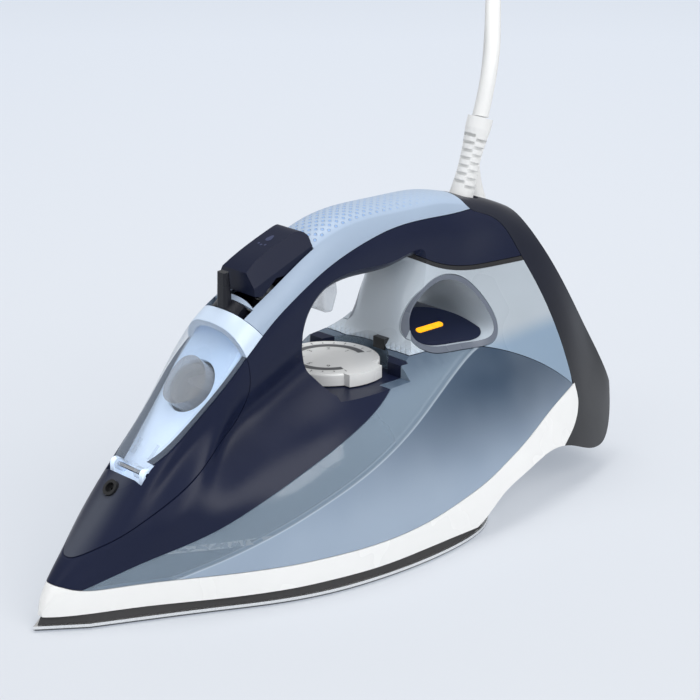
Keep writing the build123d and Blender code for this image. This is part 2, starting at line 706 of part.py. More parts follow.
def heater_casting():
    """Cast heater on the soleplate, with the groove of the heating element on top."""
    step = SOLE_PLATE + CASTING_FLANGE
    flange = loft([sole_face(CASTING_INSET, SOLE_PLATE), sole_face(CASTING_INSET + 1.0, step)])
    core = extrude(sole_face(CASTING_CORE_INSET, step), amount=CASTING_TOP - step, dir=(0, 0, 1))
    core &= box(25, CASTING_CORE_TAIL, REACH, 0, CASTING_TOP)
    casting = flange + core - element_tube(ELEMENT_DIAMETER + 2 * FIT) - steam_holes()
    for u, y in casting_screw_places():
        casting -= rod(at(u, 4, y), at(u, CASTING_TOP + 1, y), SCREW_SHANK)
    return casting


def casting_screw_places():
    """Where the chamber cover is screwed to the casting."""
    half = CHAMBER_HALF_WIDTH - SCREW_HEAD
    tail = CHAMBER_TAIL - SCREW_HEAD
    return [(CHAMBER_FRONT + SCREW_HEAD, 0.0), (tail, half), (tail, -half)]


def chamber_cover():
    """Cover plate of the steam chamber inside the loop of the heating element."""
    plate = box(CHAMBER_FRONT, CHAMBER_TAIL, CHAMBER_HALF_WIDTH, CASTING_TOP, CASTING_TOP + CHAMBER_COVER)
    plate = fillet(plate.edges().filter_by(Axis.Z), SCREW_HEAD)
    plate -= [rod(at(u, 0, y), at(u, 40, y), SCREW_SHANK) for u, y in casting_screw_places()]
    return plate - rod(at(ROD_U, 0), at(ROD_U, 40), ROD_DIAMETER + 2)


def screw(place, length):
    """A pan-head screw whose head sits on the place's plane and whose shank goes down from it."""
    head = Cylinder(SCREW_HEAD / 2, 2.0, align=(Align.CENTER, Align.CENTER, Align.MIN))
    head = fillet(head.edges().group_by(Axis.Z)[-1], 0.8)
    head -= Pos(0, 0, 1.3) * Box(SCREW_HEAD * 0.8, 0.9, 2)
    shank = Cylinder(SCREW_SHANK / 2 - FIT, length, align=(Align.CENTER, Align.CENTER, Align.MAX))
    return place * (head + shank)


def casting_screws():
    """Three screws that hold the chamber cover."""
    top = CASTING_TOP + CHAMBER_COVER
    return Compound([screw(Plane(origin=at(u, top, y)), 7.0) for u, y in casting_screw_places()])


def thermostat():
    """Thermostat block on the chamber cover, with the seat of its spindle."""
    low = CASTING_TOP + CHAMBER_COVER
    half = THERMOSTAT_LENGTH / 2
    body = box(DIAL_U - half, DIAL_U + half, THERMOSTAT_WIDTH / 2, low, low + THERMOSTAT_HEIGHT)
    body = fillet(body.edges().filter_by(Axis.Z), 2.0)
    return body - rod(at(DIAL_U, low + 2), at(DIAL_U, low + 20), SPINDLE_DIAMETER + 2 * FIT)


def thermal_fuse():
    """Thermal fuse in its clip on the chamber cover."""
    low = CASTING_TOP + CHAMBER_COVER
    u = DIAL_U - THERMOSTAT_LENGTH / 2 - 12
    clip = box(u - 3, u + 3, 5, low, low + 1.2)
    return clip + bar(u, low + 3.0, 4.4, -9, 9)


# Tank


def tank_floor(inside):
    """Floor of the tank with the dry tube of the thermostat spindle and the seat of the dosing rod."""
    top = TANK_FLOOR_Z + TANK_FLOOR
    floor = inside & box(30, 266, REACH, TANK_FLOOR_Z, top)
    floor += rod(at(DIAL_U, TANK_FLOOR_Z), at(DIAL_U, DECK_Z - WALL - FIT), SPINDLE_TUBE)
    floor -= rod(at(DIAL_U, 0), at(DIAL_U, 90), SPINDLE_DIAMETER + 12 * FIT)
    floor += rod(at(ROD_U, TANK_FLOOR_Z - 6), at(ROD_U, top + 10), ROD_DIAMETER + 5)
    return floor - rod(at(ROD_U, 0), at(ROD_U, 60), ROD_DIAMETER + 2 * FIT)


def thermostat_spindle():
    """Spindle from the dial down to the thermostat."""
    low = CASTING_TOP + CHAMBER_COVER + 2.5
    return rod(at(DIAL_U, low), at(DIAL_U, DECK_Z + DIAL_GAP + DIAL_THICKNESS - 2), SPINDLE_DIAMETER)


def dial():
    """Temperature dial with a bevelled rim and a thumb tab to the left."""
    low = DECK_Z + DIAL_GAP
    disc = rod(at(DIAL_U, low), at(DIAL_U, low + DIAL_THICKNESS), 2 * DIAL_RADIUS)
    disc = fillet(disc.edges().group_by(Axis.Z)[-1], 1.0)
    tab = Pos(at(DIAL_U, low + DIAL_THICKNESS / 2, DIAL_RADIUS)) * Box(DIAL_TAB_WIDTH, 16, DIAL_THICKNESS)
    tab &= rod(at(DIAL_U, low), at(DIAL_U, low + DIAL_THICKNESS), 2 * DIAL_TAB_RADIUS)
    hole = rod(at(DIAL_U, low - 1), at(DIAL_U, low + DIAL_THICKNESS - 2), SPINDLE_DIAMETER + 0.04)
    return disc + tab - hole


# Water door


def ridge(along, depth, y=0.0):
    """A point by its distance up the front ridge from RIDGE_POINT and its depth under it."""
    slope = radians(RIDGE_ANGLE)
    u = RIDGE_POINT[0] + along * cos(slope) + depth * sin(slope)
    z = RIDGE_POINT[1] + along * sin(slope) - depth * cos(slope)
    return at(u, z, y)


def ridge_slab(start, end, top, low):
    """A flat slab under the front ridge, across the whole width."""
    corners = [ridge(start, top), ridge(end, top), ridge(end, low), ridge(start, low)]
    return across([Polyline(*corners, close=True)])


def water_door(shell, outer):
    """Clear door over the filler, with two hinge lugs at its lower end."""
    axis = at(*DOOR_AXIS)
    door = shell & door_area(SEAM)
    door -= polygon([(30, 40), (DOOR_AXIS[0] - 0.8, DOOR_AXIS[1] + 8), (DOOR_AXIS[0] - 0.8, 20)])
    web = ridge_slab(-31, -24, 0.5, 4.5) & Pos(axis) * Box(40, 2 * DOOR_WEB_TO, 40)
    web -= Pos(axis) * Box(60, 2 * DOOR_LUG_FROM, 60)
    door += web & outer
    for side in (-1, 1):
        door -= bar(*DOOR_AXIS, DOOR_LUG + 6 * FIT, side * (DOOR_LUG_TO + FIT), side * (DOOR_EAR_TO + 1))
        door += bar(*DOOR_AXIS, DOOR_LUG, side * DOOR_LUG_FROM, side * DOOR_LUG_TO)
    return door - bar(*DOOR_AXIS, DOOR_PIN + 2 * FIT, -20, 20)


def filler_plug(inside):
    """Plug on the inside of the door that closes the filler hole."""
    start, end = ridge(PLUG_ALONG, -2), ridge(PLUG_ALONG, TRAY_DEPTH + TRAY_THICKNESS)
    plug = rod(start, end, 2 * PLUG_RADIUS) & inside
    cup = rod(ridge(PLUG_ALONG, TRAY_DEPTH - 2.5), ridge(PLUG_ALONG, TRAY_DEPTH + 10), 2 * PLUG_RADIUS - 4)
    return plug - cup


def filler_tray(inside):
    """Floor under the door with the filler hole and the ears of the hinge pin."""
    tray = ridge_slab(-42, 34, TRAY_DEPTH, TRAY_DEPTH + TRAY_THICKNESS) & inside
    tray -= rod(ridge(PLUG_ALONG, 0), ridge(PLUG_ALONG, 30), 2 * (PLUG_RADIUS + PLUG_HOLE_GAP))
    u, z = DOOR_AXIS
    tray -= bar(u, z, DOOR_LUG + 6 * FIT, -DOOR_LUG_TO - 3 * FIT, DOOR_LUG_TO + 3 * FIT)
    for side in (-1, 1):
        y_from, y_to = side * (DOOR_LUG_TO + 3 * FIT), side * DOOR_EAR_TO
        tray += Pos(at(u, z - 4, (y_from + y_to) / 2)) * Box(DOOR_LUG, abs(y_to - y_from), 8)
        tray += bar(u, z, DOOR_LUG, y_from, y_to)
    return tray - bar(u, z, DOOR_PIN + 0.04, -20, 20)


def door_pin():
    """Hinge pin of the water door."""
    return bar(*DOOR_AXIS, DOOR_PIN, -DOOR_EAR_TO, DOOR_EAR_TO)


def spray_nozzle():
    """Spray nozzle in the nose, with its orifice."""
    back, front = nozzle_line()
    way = (front - back).normalized()
    body = rod(back, front, NOZZLE_DIAMETER)
    body -= rod(front - way * 1.6, front + way * 1, NOZZLE_DIAMETER * 0.62)
    return body - rod(back - way, front + way, NOZZLE_ORIFICE)


def spray_hose():
    """Hose from the spray pump to the nozzle."""
    path = FilletPolyline(*[at(u, z, y) for u, y, z in HOSE_ROUTE], radius=HOSE_BEND)
    return sweep(Plane(origin=path @ 0, z_dir=path % 0) * Circle(HOSE_DIAMETER / 2), path=path)


# Steam selector


def shaft_point(along, radius=0.0, y=0.0):
    """A point by its distance along the lever's shaft, its distance out from it and its side offset."""
    du, dz = cos(radians(LEVER_ANGLE)), sin(radians(LEVER_ANGLE))
    return at(LEVER_POINT[0] + du * along - dz * radius, LEVER_POINT[1] + dz * along + du * radius, y)


def selector_lever():
    """Selector lever: a hub on a shaft, a round sector in the slot and a post for the thumb."""
    half = LEVER_WIDTH / 2
    hub = rod(shaft_point(-half), shaft_point(half), 9.0)
    sector = rod(shaft_point(-half), shaft_point(half), 2 * LEVER_RADIUS)
    middle = shaft_point(0, LEVER_RADIUS / 2)
    place = Plane(origin=middle, x_dir=(0, 1, 0), z_dir=shaft_point(1) - shaft_point(0))
    sector &= place * Box(17, LEVER_RADIUS + 2, LEVER_WIDTH)
    foot = shaft_point(-0.8, LEVER_RADIUS - 1.5)
    post = Plane(origin=foot, x_dir=(0, 1, 0), z_dir=at(*LEVER_TIP) - foot)
    thumb = post * extrude(RectangleRounded(6.4, LEVER_WIDTH - 0.4, 1.6), amount=LEVER_POST, taper=3)
    shaft = rod(shaft_point(half), shaft_point(half + BULKHEAD + 2.5), LEVER_SHAFT)
    return hub + sector + thumb + shaft


def lever_bulkhead(inside):
    """Wall inside the column that carries the lever's shaft."""
    start = LEVER_WIDTH / 2 + 3 * FIT
    corners = [(start, -7), (start, 10), (start + BULKHEAD, 10), (start + BULKHEAD, -7)]
    wall = across([Polyline(*[shaft_point(*corner) for corner in corners], close=True)]) & inside
    return wall - rod(shaft_point(0), shaft_point(20), LEVER_SHAFT + 2 * FIT)


def dosing_rod():
    """Rod that opens the dosing valve in the tank floor."""
    return rod(at(ROD_U, ROD_FOOT), at(ROD_U, ROD_TOP), ROD_DIAMETER)


# Spray button


def spray_button():
    """Wedge-shaped button on the front of the handle, which stands on the piston of the spray pump."""
    sides = [at(u, z) for u, z in BUTTON_SIDE]
    low = [at(u, z) for u, z in BUTTON_UNDER]
    wedge = across([Spline(*sides[1:-1]), Polyline(sides[-2], sides[-1], *low, sides[0], sides[1])])
    front, back = sides[1], sides[5]
    profile = Plane(origin=front, x_dir=(0, 1, 0), z_dir=front - back)
    half, top, crown = BUTTON_HALF_WIDTH, BUTTON_TOP_WIDTH / 2, BUTTON_CROWN
    right = [(half, -40), (half, crown - BUTTON_BEVEL), (top, crown)]
    left = [(-y, z) for y, z in reversed(right)]
    outline = make_face(Polyline(*right, *left, close=True))
    return wedge & extrude(profile * outline, amount=60, both=True)


def spray_pump():
    """Cylinder of the spray pump."""
    body = rod(at(PUMP_U, PUMP_FOOT), at(PUMP_U, PUMP_TOP), PUMP_DIAMETER)
    bore = rod(at(PUMP_U, PUMP_FOOT + 2), at(PUMP_U, PUMP_TOP - 2), PUMP_DIAMETER - 2 * PUMP_WALL)
    return body - bore - rod(at(PUMP_U, PUMP_FOOT + 1), at(PUMP_U, PUMP_TOP + 1), PISTON_ROD + 2 * FIT)


def spray_piston():
    """Piston and rod of the spray pump, up to the button."""
    head = rod(at(PUMP_U, PUMP_TOP - 9), at(PUMP_U, PUMP_TOP - 5), PUMP_DIAMETER - 2 * PUMP_WALL - 2 * FIT)
    stop = rod(at(PUMP_U, SPRING_TOP), at(PUMP_U, SPRING_TOP + 1.5), SPRING_DIAMETER + 2 * SPRING_WIRE)
    return head + rod(at(PUMP_U, PUMP_TOP - 6), at(PUMP_U, PISTON_TOP), PISTON_ROD) + stop


def spray_spring():
    """Spring between the pump and the stop on the piston's rod."""
    height = SPRING_TOP - PUMP_TOP - SPRING_WIRE - 2 * FIT
    path = Helix(height / SPRING_TURNS, height, SPRING_DIAMETER / 2)
    wire = sweep(Plane(origin=path @ 0, z_dir=path % 0) * Circle(SPRING_WIRE / 2), path=path, is_frenet=True)
    return Pos(at(PUMP_U, PUMP_TOP + SPRING_WIRE / 2 + FIT)) * wire


def pump_shelf(inside):
    """Shelf across the column that the spray pump stands on."""
    shelf = inside & box(96, 133, REACH, PUMP_FOOT - SHELF, PUMP_FOOT)
    return shelf - rod(at(ROD_U, 0), at(ROD_U, 120), ROD_DIAMETER + 1.0)


# Steam trigger


def steam_trigger():
    """Trigger under the front of the handle, on the rod of the steam pump."""
    corners = [at(u, z) for u, z in TRIGGER_SIDE]
    blade = across([Polyline(*corners, close=True)]) & box(100, 200, TRIGGER_HALF_WIDTH, 80, 170)
    tips = blade.edges().filter_by(lambda e: e.center().Z < 112)
    return fillet(tips, 1.4)


def shot_pump():
    """Cylinder of the steam pump, which lies in the handle."""
    front, z = SHOT_PUMP_FROM, SHOT_PUMP_Z
    body = rod(at(front, z), at(SHOT_PUMP_TO, z), PUMP_DIAMETER)
    body -= rod(at(front + 2, z), at(SHOT_PUMP_TO - 2, z), PUMP_DIAMETER - 2 * PUMP_WALL)
    return body - rod(at(front - 1, z), at(front + 5, z), PISTON_ROD + 2 * FIT)


def shot_piston():
    """Piston and rod of the steam pump, up to the trigger."""
    front, z = SHOT_PUMP_FROM, SHOT_PUMP_Z
    head = rod(at(front + 4, z), at(front + 8, z), PUMP_DIAMETER - 2 * PUMP_WALL - 2 * FIT)
    return head + rod(at(SHOT_ROD_FRONT, z), at(front + 5, z), PISTON_ROD)


def pump_cradle(inside):
    """Cradle on the floor of the handle that carries the steam pump."""
    cradle = inside & box(SHOT_PUMP_FROM + 4, SHOT_PUMP_TO - 4, 7.0, 110, SHOT_PUMP_Z - 1)
    return cradle - rod(at(100, SHOT_PUMP_Z), at(250, SHOT_PUMP_Z), PUMP_DIAMETER)


# Lamp in the pillar


def lamp_housing():
    """Dark wedge on the floor of the hole through the pillar."""
    ridge_line = [at(u, z) for u, z in LAMP_RIDGE]
    wedge = across([Spline(*ridge_line), Polyline(ridge_line[-1], at(225, 74), at(195, 74), ridge_line[0])])
    wedge &= tunnel(LAMP_HOLE, HOLE_FLARE, -SEAM / 2)
    wedge &= body_loft(0.8)
    for side in (-1, 1):
        wedge -= lamp_slope(side, 210, 5) * Pos(0, 0, 20) * Box(120, 120, 40)
    return wedge - lamp_lenses(FIT)


def lamp_slope(side, u, y):
    """A place on one slope of the lamp housing."""
    lean = radians(LAMP_SLOPE)
    origin = at(u, LAMP_TOP - (y - 5) * tan(lean), side * y)
    return Plane(origin=origin, x_dir=(1, 0, 0), z_dir=(0, side * sin(lean), cos(lean)))


def lamp_lenses(gap=0.0):
    """Amber windows on both slopes of the lamp housing."""
    lens = extrude(SlotOverall(16 + 2 * gap, 3 + 2 * gap), amount=1.1)
    return [lamp_slope(side, 207, 15.5) * Pos(0, 0, -0.8) * lens for side in (-1, 1)]


def dial_pointer(outer):
    """Pointer block behind the dial, on the foot of the pillar."""
    body = Pos(at(185.5, 81.5, 7.5)) * Box(3.8, 7.0, 5.0)
    return body - outer


# Cord and heel


def cord_ball():
    """Ball that the boot swings on, with a pivot on each side."""
    pivots = bar(*BALL_POINT, PIVOT_DIAMETER, -PIVOT_REACH, PIVOT_REACH)
    return Pos(at(*BALL_POINT)) * Sphere(BALL_DIAMETER / 2) + pivots


def cord_socket(inside):
    """Socket of the ball inside the heel cover."""
    start, end = boot_line(-5.0)[0], boot_line(5.0)[0]
    ring = rod(start, end, BALL_DIAMETER + 7) & inside
    ring -= Pos(at(*BALL_POINT)) * Sphere(BALL_DIAMETER / 2 + FIT)
    ring -= bar(*BALL_POINT, PIVOT_DIAMETER + 2 * FIT, -PIVOT_REACH - FIT, PIVOT_REACH + FIT)
    for swing in (-BOOT_SWING, 0.0, BOOT_SWING):
        ring -= rod(*boot_line(0.0, swing), BOOT_BASE + 2 * BUTTON_GAP)
    return ring


def cord_boot():
    """Flared, slotted strain relief on the ball."""
    middle = (BOOT_FROM + BOOT_TO) / 2
    side = [(BOOT_BASE / 2, BOOT_FROM), (BOOT_NECK / 2, middle), (BOOT_TIP / 2, BOOT_TO - 5)]
    outline = Spline(*[(r, 0, h) for r, h in side])
    corners = [(BOOT_TIP / 2, BOOT_TO - 5), (BOOT_TIP / 2, BOOT_TO), (0, BOOT_TO), (0, BOOT_FROM), side[0]]
    boot = revolve(make_face([outline, Polyline(*[(r, 0, h) for r, h in corners])]), Axis.Z)
    pitch = (BOOT_TO - BOOT_FROM - 14) / (2 * BOOT_SLOTS - 1)
    slot = Pos(7.4, 0, 0) * Box(8, 7, pitch * 0.8)
    for i in range(2 * BOOT_SLOTS):
        for turn in (0, 180):
            boot -= Pos(0, 0, BOOT_FROM + 5.5 + i * pitch) * Rot(0, 0, turn + 90 * (i % 2)) * slot
    start, end = boot_line(0.0)
    return Plane(origin=start, x_dir=(0, 1, 0), z_dir=end - start) * boot - cord_ball()


def heel_board():
    """Switch-off board on the bosses behind the rear face."""
    plate = Box(BOARD_WIDTH, BOARD_LENGTH, BOARD_THICKNESS, align=(Align.CENTER, Align.CENTER, Align.MAX))
    relay = Pos(0, 0, -BOARD_THICKNESS) * Box(13, 19, 10, align=(Align.CENTER, Align.CENTER, Align.MAX))
    board = heel_place() * Pos(0, 0, -WALL - BOARD_STANDOFF) * (plate + relay)
    return board - [place * Cylinder(SCREW_SHANK / 2, 40) for place in board_places(0.0)]


def board_screws():
    """Four screws that hold the board on its bosses."""
    seat = -WALL - BOARD_STANDOFF - BOARD_THICKNESS
    return Compound([place * Rot(180, 0, 0) * screw(Plane.XY, 5.0) for place in board_places(seat)])


def terminal_block():
    """Mains terminals on the inside of the rear face."""
    body = Box(26, 9, 9, align=(Align.CENTER, Align.CENTER, Align.MAX))
    for i in (-1, 0, 1):
        body -= Pos(i * 8, 0, -9) * Cylinder(2.0, 8)
    return heel_place() * Pos(0, -27, -WALL) * body


def heel_panel():
    """Leaf-shaped panel on the rear face, which the iron stands on."""
    return heel_place() * panel_blank(0.0, PANEL_THICKNESS - PANEL_PROUD)


def corner_radii(points):
    """Bend radii of a route: as large as the two runs at each corner leave room for."""
    radii = []
    for before, here, after in zip(points, points[1:], points[2:]):
        turn = radians((here - before).get_angle(after - here))
        radii.append(0.45 * min((here - before).length, (after - here).length) / tan(turn / 2))
    return radii


def cord_tube(route):
    """A tube along a cord's route, printed with its radii and volume."""
    radii = corner_radii(route)
    path = FilletPolyline(*route, radius=radii)
    tube = sweep(Plane(origin=path @ 0, z_dir=path % 0) * Circle(CORD_DIAMETER / 2), path=path)
    ratio = tube.volume / (path.length * pi * CORD_DIAMETER**2 / 4)
    print("cord length %.1f volume ratio %.4f radii" % (path.length, ratio), [round(r) for r in radii])
    return tube


def cord():
    """Cord from the boot over to the coil behind the iron."""
    end = boot_line(0.0)[1]
    way = (end - boot_line(0.0)[0]).normalized()
    return cord_tube([end + way * CORD_GAP] + [at(u, z, y) for u, y, z in CORD_ROUTE])


def cord_tail():
    """Cord from the coil to the plug."""
    return cord_tube([at(u, z, y) for u, y, z in TAIL_ROUTE])


def coil():
    """Outer shape of the wound cord."""
    outer = COIL_INNER + COIL_ACROSS * CORD_DIAMETER
    height = COIL_HIGH * CORD_DIAMETER
    base, top = at(COIL_AT[0], 0, COIL_AT[1]), at(COIL_AT[0], height, COIL_AT[1])
    ring = rod(base, top, 2 * outer)
    ring = fillet(ring.edges(), CORD_DIAMETER / 2)
    return ring - rod(base, top, 2 * COIL_INNER)


def coil_tie():
    """Tie around one side of the coil."""
    across_turns, height = COIL_ACROSS * CORD_DIAMETER, COIL_HIGH * CORD_DIAMETER
    middle = at(COIL_AT[0] + COIL_INNER + across_turns / 2, height / 2 + 0.6, COIL_AT[1])
    band = Box(across_turns + 3.2, 8, height + 1.2)
    return Pos(middle) * (band - Pos(0, 0, -0.6) * Box(across_turns + 1.0, 10, height + 0.2))


def plug_body():
    """Two-pin plug on the end of the cord, lying beside the coil."""
    u, y = PLUG_AT
    end = Plane(origin=at(u, PLUG_AXIS_Z, y), x_dir=(0, 1, 0), z_dir=(1, 0, 0))
    faces = [
        end.offset(along) * RectangleRounded(wide, high, min(wide, high) * 0.38)
        for along, wide, high in PLUG_SIZES
    ]
    return loft(faces)


def plug_pins():
    """Round pins of the plug."""
    u, y = PLUG_AT
    face, half = u - PLUG_LENGTH, PLUG_PIN_PITCH / 2
    pins = []
    for side in (y - half, y + half):
        pin = rod(at(face, PLUG_AXIS_Z, side), at(face - PLUG_PIN_LENGTH, PLUG_AXIS_Z, side), PLUG_PIN)
        pins.append(fillet(pin.edges().group_by(Axis.X)[-1], 1.6))
    return Compound(pins)


def make_parts():
    """Every piece of the iron by its node's name."""
    shell, inside, outer = hollow_body()
    return {
        "soleplate": soleplate(),
        "heater_casting": heater_casting(),
        "heating_element": element_tube(ELEMENT_DIAMETER),
        "steam_chamber_cover": chamber_cover(),
        "cover_screws": casting_screws(),
        "thermostat": thermostat(),
        "thermal_fuse": thermal_fuse(),
        "skirt": skirt_shell(shell),
        "tank_floor": tank_floor(inside),
        "water_tank": tank_shell(shell),
        "pillar_shell": pillar_shell(shell),
        "pillar_gasket": pillar_gasket(shell),
        "hole_trim": hole_trim(shell),
        "lamp_housing": lamp_housing(),
        "lamp_lenses": Compound(lamp_lenses()),
        "dial_pointer": dial_pointer(outer),
        "handle_shell": handle_shell(shell),
        "grip": grip_shell(shell),
        "collar": collar_shell(shell),
        "nose_cover": nose_cover(shell),
        "filler_tray": filler_tray(inside),
        "door_pin": door_pin(),
        "spray_nozzle": spray_nozzle(),
        "spray_hose": spray_hose(),
        "heel_cover": heel_cover(shell),
        "heel_panel": heel_panel(),
        "heel_board": heel_board(),
        "board_screws": board_screws(),
        "terminal_block": terminal_block(),
        "cord_socket": cord_socket(inside),
        "lever_bulkhead": lever_bulkhead(inside),
        "pump_shelf": pump_shelf(inside),
        "spray_pump": spray_pump(),
        "steam_pump": shot_pump(),
        "pump_cradle": pump_cradle(inside),
        "dial": dial(),
        "thermostat_spindle": thermostat_spindle(),
        "water_door": water_door(shell, outer),
        "filler_plug": filler_plug(inside),
        "selector_lever": selector_lever(),
        "dosing_rod": dosing_rod(),
        "spray_button": spray_button(),
        "spray_piston": spray_piston(),
        "spray_spring": spray_spring(),
        "steam_trigger": steam_trigger(),
        "steam_piston": shot_piston(),
        "cord_boot": cord_boot(),
        "cord_ball": cord_ball(),
        "cord": cord(),
        "cord_coil": coil(),
        "cord_tail": cord_tail(),
        "coil_tie": coil_tie(),
        "plug_body": plug_body(),
        "plug_pins": plug_pins(),
    }


def main():
    """Writes each piece to its own file."""
    os.makedirs("parts", exist_ok=True)
    for name, shape in make_parts().items():
        export_step(shape, f"parts/{name}.step")


if __name__ == "__main__":
    main()
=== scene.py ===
"""Corded steam iron: finishes, printed marks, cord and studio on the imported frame."""
import math

import bmesh
import bpy
from bpy.props import FloatProperty, FloatVectorProperty, IntProperty, PointerProperty
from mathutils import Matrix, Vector
from mathutils.bvhtree import BVHTree


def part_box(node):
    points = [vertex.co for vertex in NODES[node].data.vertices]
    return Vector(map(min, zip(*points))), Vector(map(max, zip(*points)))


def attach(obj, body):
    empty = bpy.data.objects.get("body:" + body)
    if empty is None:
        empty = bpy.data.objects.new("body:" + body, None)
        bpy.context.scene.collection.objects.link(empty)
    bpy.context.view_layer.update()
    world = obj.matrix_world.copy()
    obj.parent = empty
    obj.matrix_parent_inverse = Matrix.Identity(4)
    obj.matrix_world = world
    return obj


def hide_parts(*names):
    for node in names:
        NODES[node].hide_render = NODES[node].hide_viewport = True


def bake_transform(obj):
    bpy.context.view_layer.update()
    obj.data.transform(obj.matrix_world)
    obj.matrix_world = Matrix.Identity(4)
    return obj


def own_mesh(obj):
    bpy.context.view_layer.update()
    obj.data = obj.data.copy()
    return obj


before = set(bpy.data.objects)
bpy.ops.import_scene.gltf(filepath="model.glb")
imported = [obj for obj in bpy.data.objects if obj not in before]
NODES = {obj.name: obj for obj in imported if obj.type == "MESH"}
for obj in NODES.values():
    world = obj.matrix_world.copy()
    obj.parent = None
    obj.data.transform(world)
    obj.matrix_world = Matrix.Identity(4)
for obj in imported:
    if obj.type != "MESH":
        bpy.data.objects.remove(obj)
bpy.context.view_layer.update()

bl_info = {
    "name": "Steam Iron Dressing",
    "version": (1, 0, 0),
    "blender": (4, 5, 0),
    "location": "View3D > Sidebar > Iron",
    "description": "Dresses the iron's frame with finishes, printed marks, a cord and a studio",
    "category": "Object",
}

NOSE_X = 0.158  # the sole's tip; distances u run back from here in millimetres
MM = 0.001

CORD_ROUTE = [
    (253.63, 0.0, 170.75), (261.4, -0.8, 193.4), (273.2, -12.1, 211.0), (290.2, -28.4, 217.8),
    (307.6, -45.1, 211.3), (320.6, -57.6, 192.6), (325.5, -64.5, 163.6), (323.3, -74.9, 125.2),
    (326.2, -63.0, 90.5), (334.6, -58.3, 63.6), (329.3, -62.4, 36.5), (316.8, -79.2, 17.3),
    (312.3, -106.1, 10.5),
]
TAIL_ROUTE = [(341.0, -56.4, 3.7), (324.5, -62.0, 6.5), (308.0, -65.6, 10.6), (291.3, -66.0, 12.2)]
LEVER_AT = Vector((0.047, 0.0, 0.105))
LEVER_AXIS = Vector((-0.788, 0.0, 0.616)).normalized()
LEVER_OUT = Vector((0.616, 0.0, 0.788)).normalized()
COLLAR_MARKS = -0.0095  # along the lever's axis
BUTTON_MARK = (125.0, 0.0, 138.0)
BUTTON_MARK_LIFT = 0.0001
BUTTON_DOWN = Vector((0.93, 0.0, -0.37)).normalized()  # down the button's face
DIAL_AT = 160.5
DIAL_RING, DIAL_TICKS, DIAL_FIGURES = 15.6, 18.2, 11.4  # radii
DIAL_FROM, DIAL_SWEEP = -200.0, 270.0  # degrees
DIAL_LAST_FIGURE = 6
FLOOR_REACH = 9.0
FLOOR_DROP = 0.0004  # below the sole
FLOOR_GLOW = 0.55  # share of the seen floor that is its own light
FLOOR_WAY = (-0.682, -0.731, 0.0)  # away from the camera along the floor
FLOOR_EVEN = (-0.13, 1.10, 0.78, 1.16)  # near and far place along it, and the glow at each
COIL_AT = (362.1, -101.7)
COIL_OUTER_TURN = 50.0
COIL_FROM = 185.0  # degrees
COIL_SWEEP = 2090.0
COIL_STEP = 20.0
COIL_PITCH = 7.1
COIL_LAYERS = (10.5, 3.5)


def spot(u, y, z):
    """A point from its distance behind the sole's tip, its side and its height in millimetres."""
    return Vector((NOSE_X - u * MM, y * MM, z * MM))


# Settings


def colour(name, description, default):
    """A colour setting in linear values."""
    return FloatVectorProperty(
        name=name, description=description, default=default, subtype="COLOR", size=3, min=0.0, max=1.0
    )


class IronFinishes(bpy.types.PropertyGroup):
    """Colours and surface values of the iron's plastics and metals."""

    white: colour("White", "Skirt, dial and cord boot", (0.80, 0.81, 0.81))
    navy: colour("Navy", "Nose, handle and spray button", (0.0085, 0.0125, 0.0350))
    heel: colour("Heel", "Rear cover", (0.0095, 0.0120, 0.0240))
    panel: colour("Rear panel", "Leaf-shaped panel that the iron stands on", (0.022, 0.023, 0.026))
    grip: colour("Grip", "Soft-touch top of the handle", (0.29, 0.37, 0.485))
    dimple: colour("Dimples", "Floor of the grip's dimples", (0.23, 0.37, 0.64))
    collar: colour("Collar", "Collar in front of the selector lever", (0.56, 0.67, 0.82))
    # painted light and shade: the tank is drawn darker to its upper rear and paler at its lower front
    tank_deep: colour("Tank, deep", "Upper rear of the water tank", (0.016, 0.042, 0.084))
    tank_pale: colour("Tank, pale", "Lower front of the water tank", (0.29, 0.37, 0.48))
    frost: colour("Frosted pillar", "Rear pillar of the handle", (0.37, 0.42, 0.47))
    trim: colour("Ring trim", "Ring round the hole in the pillar", (0.12, 0.14, 0.18))
    tray: colour("Filler tray", "Tray under the clear door", (0.44, 0.62, 0.88))
    amber: colour("Amber", "Lamp lenses", (0.95, 0.42, 0.005))
    print_grey: colour("Print", "Printed marks", (0.10, 0.105, 0.115))
    dimple_pitch: FloatProperty(
        name="Dimple pitch", description="Distance between the grip's dimples along the handle",
        default=0.0040, min=0.002, max=0.01, unit="LENGTH",
    )
    door_cover: FloatProperty(
        name="Door cover", description="How much the clear door hides, seen square on",
        default=0.05, min=0.0, max=1.0, subtype="FACTOR",
    )


class IronSizes(bpy.types.PropertyGroup):
    """Sizes of the cord and the printed marks."""

    cord_diameter: FloatProperty(
        name="Cord", description="Diameter of the cord", default=0.007, min=0.005, max=0.009, unit="LENGTH"
    )
    print_lift: FloatProperty(
        name="Print", description="Height of printed marks over their surface",
        default=0.00006, min=0.00002, max=0.0003, unit="LENGTH",
    )
    dial_ticks: IntProperty(
        name="Dial ticks", description="Number of heat ticks on the dial", default=19, min=5, max=60
    )


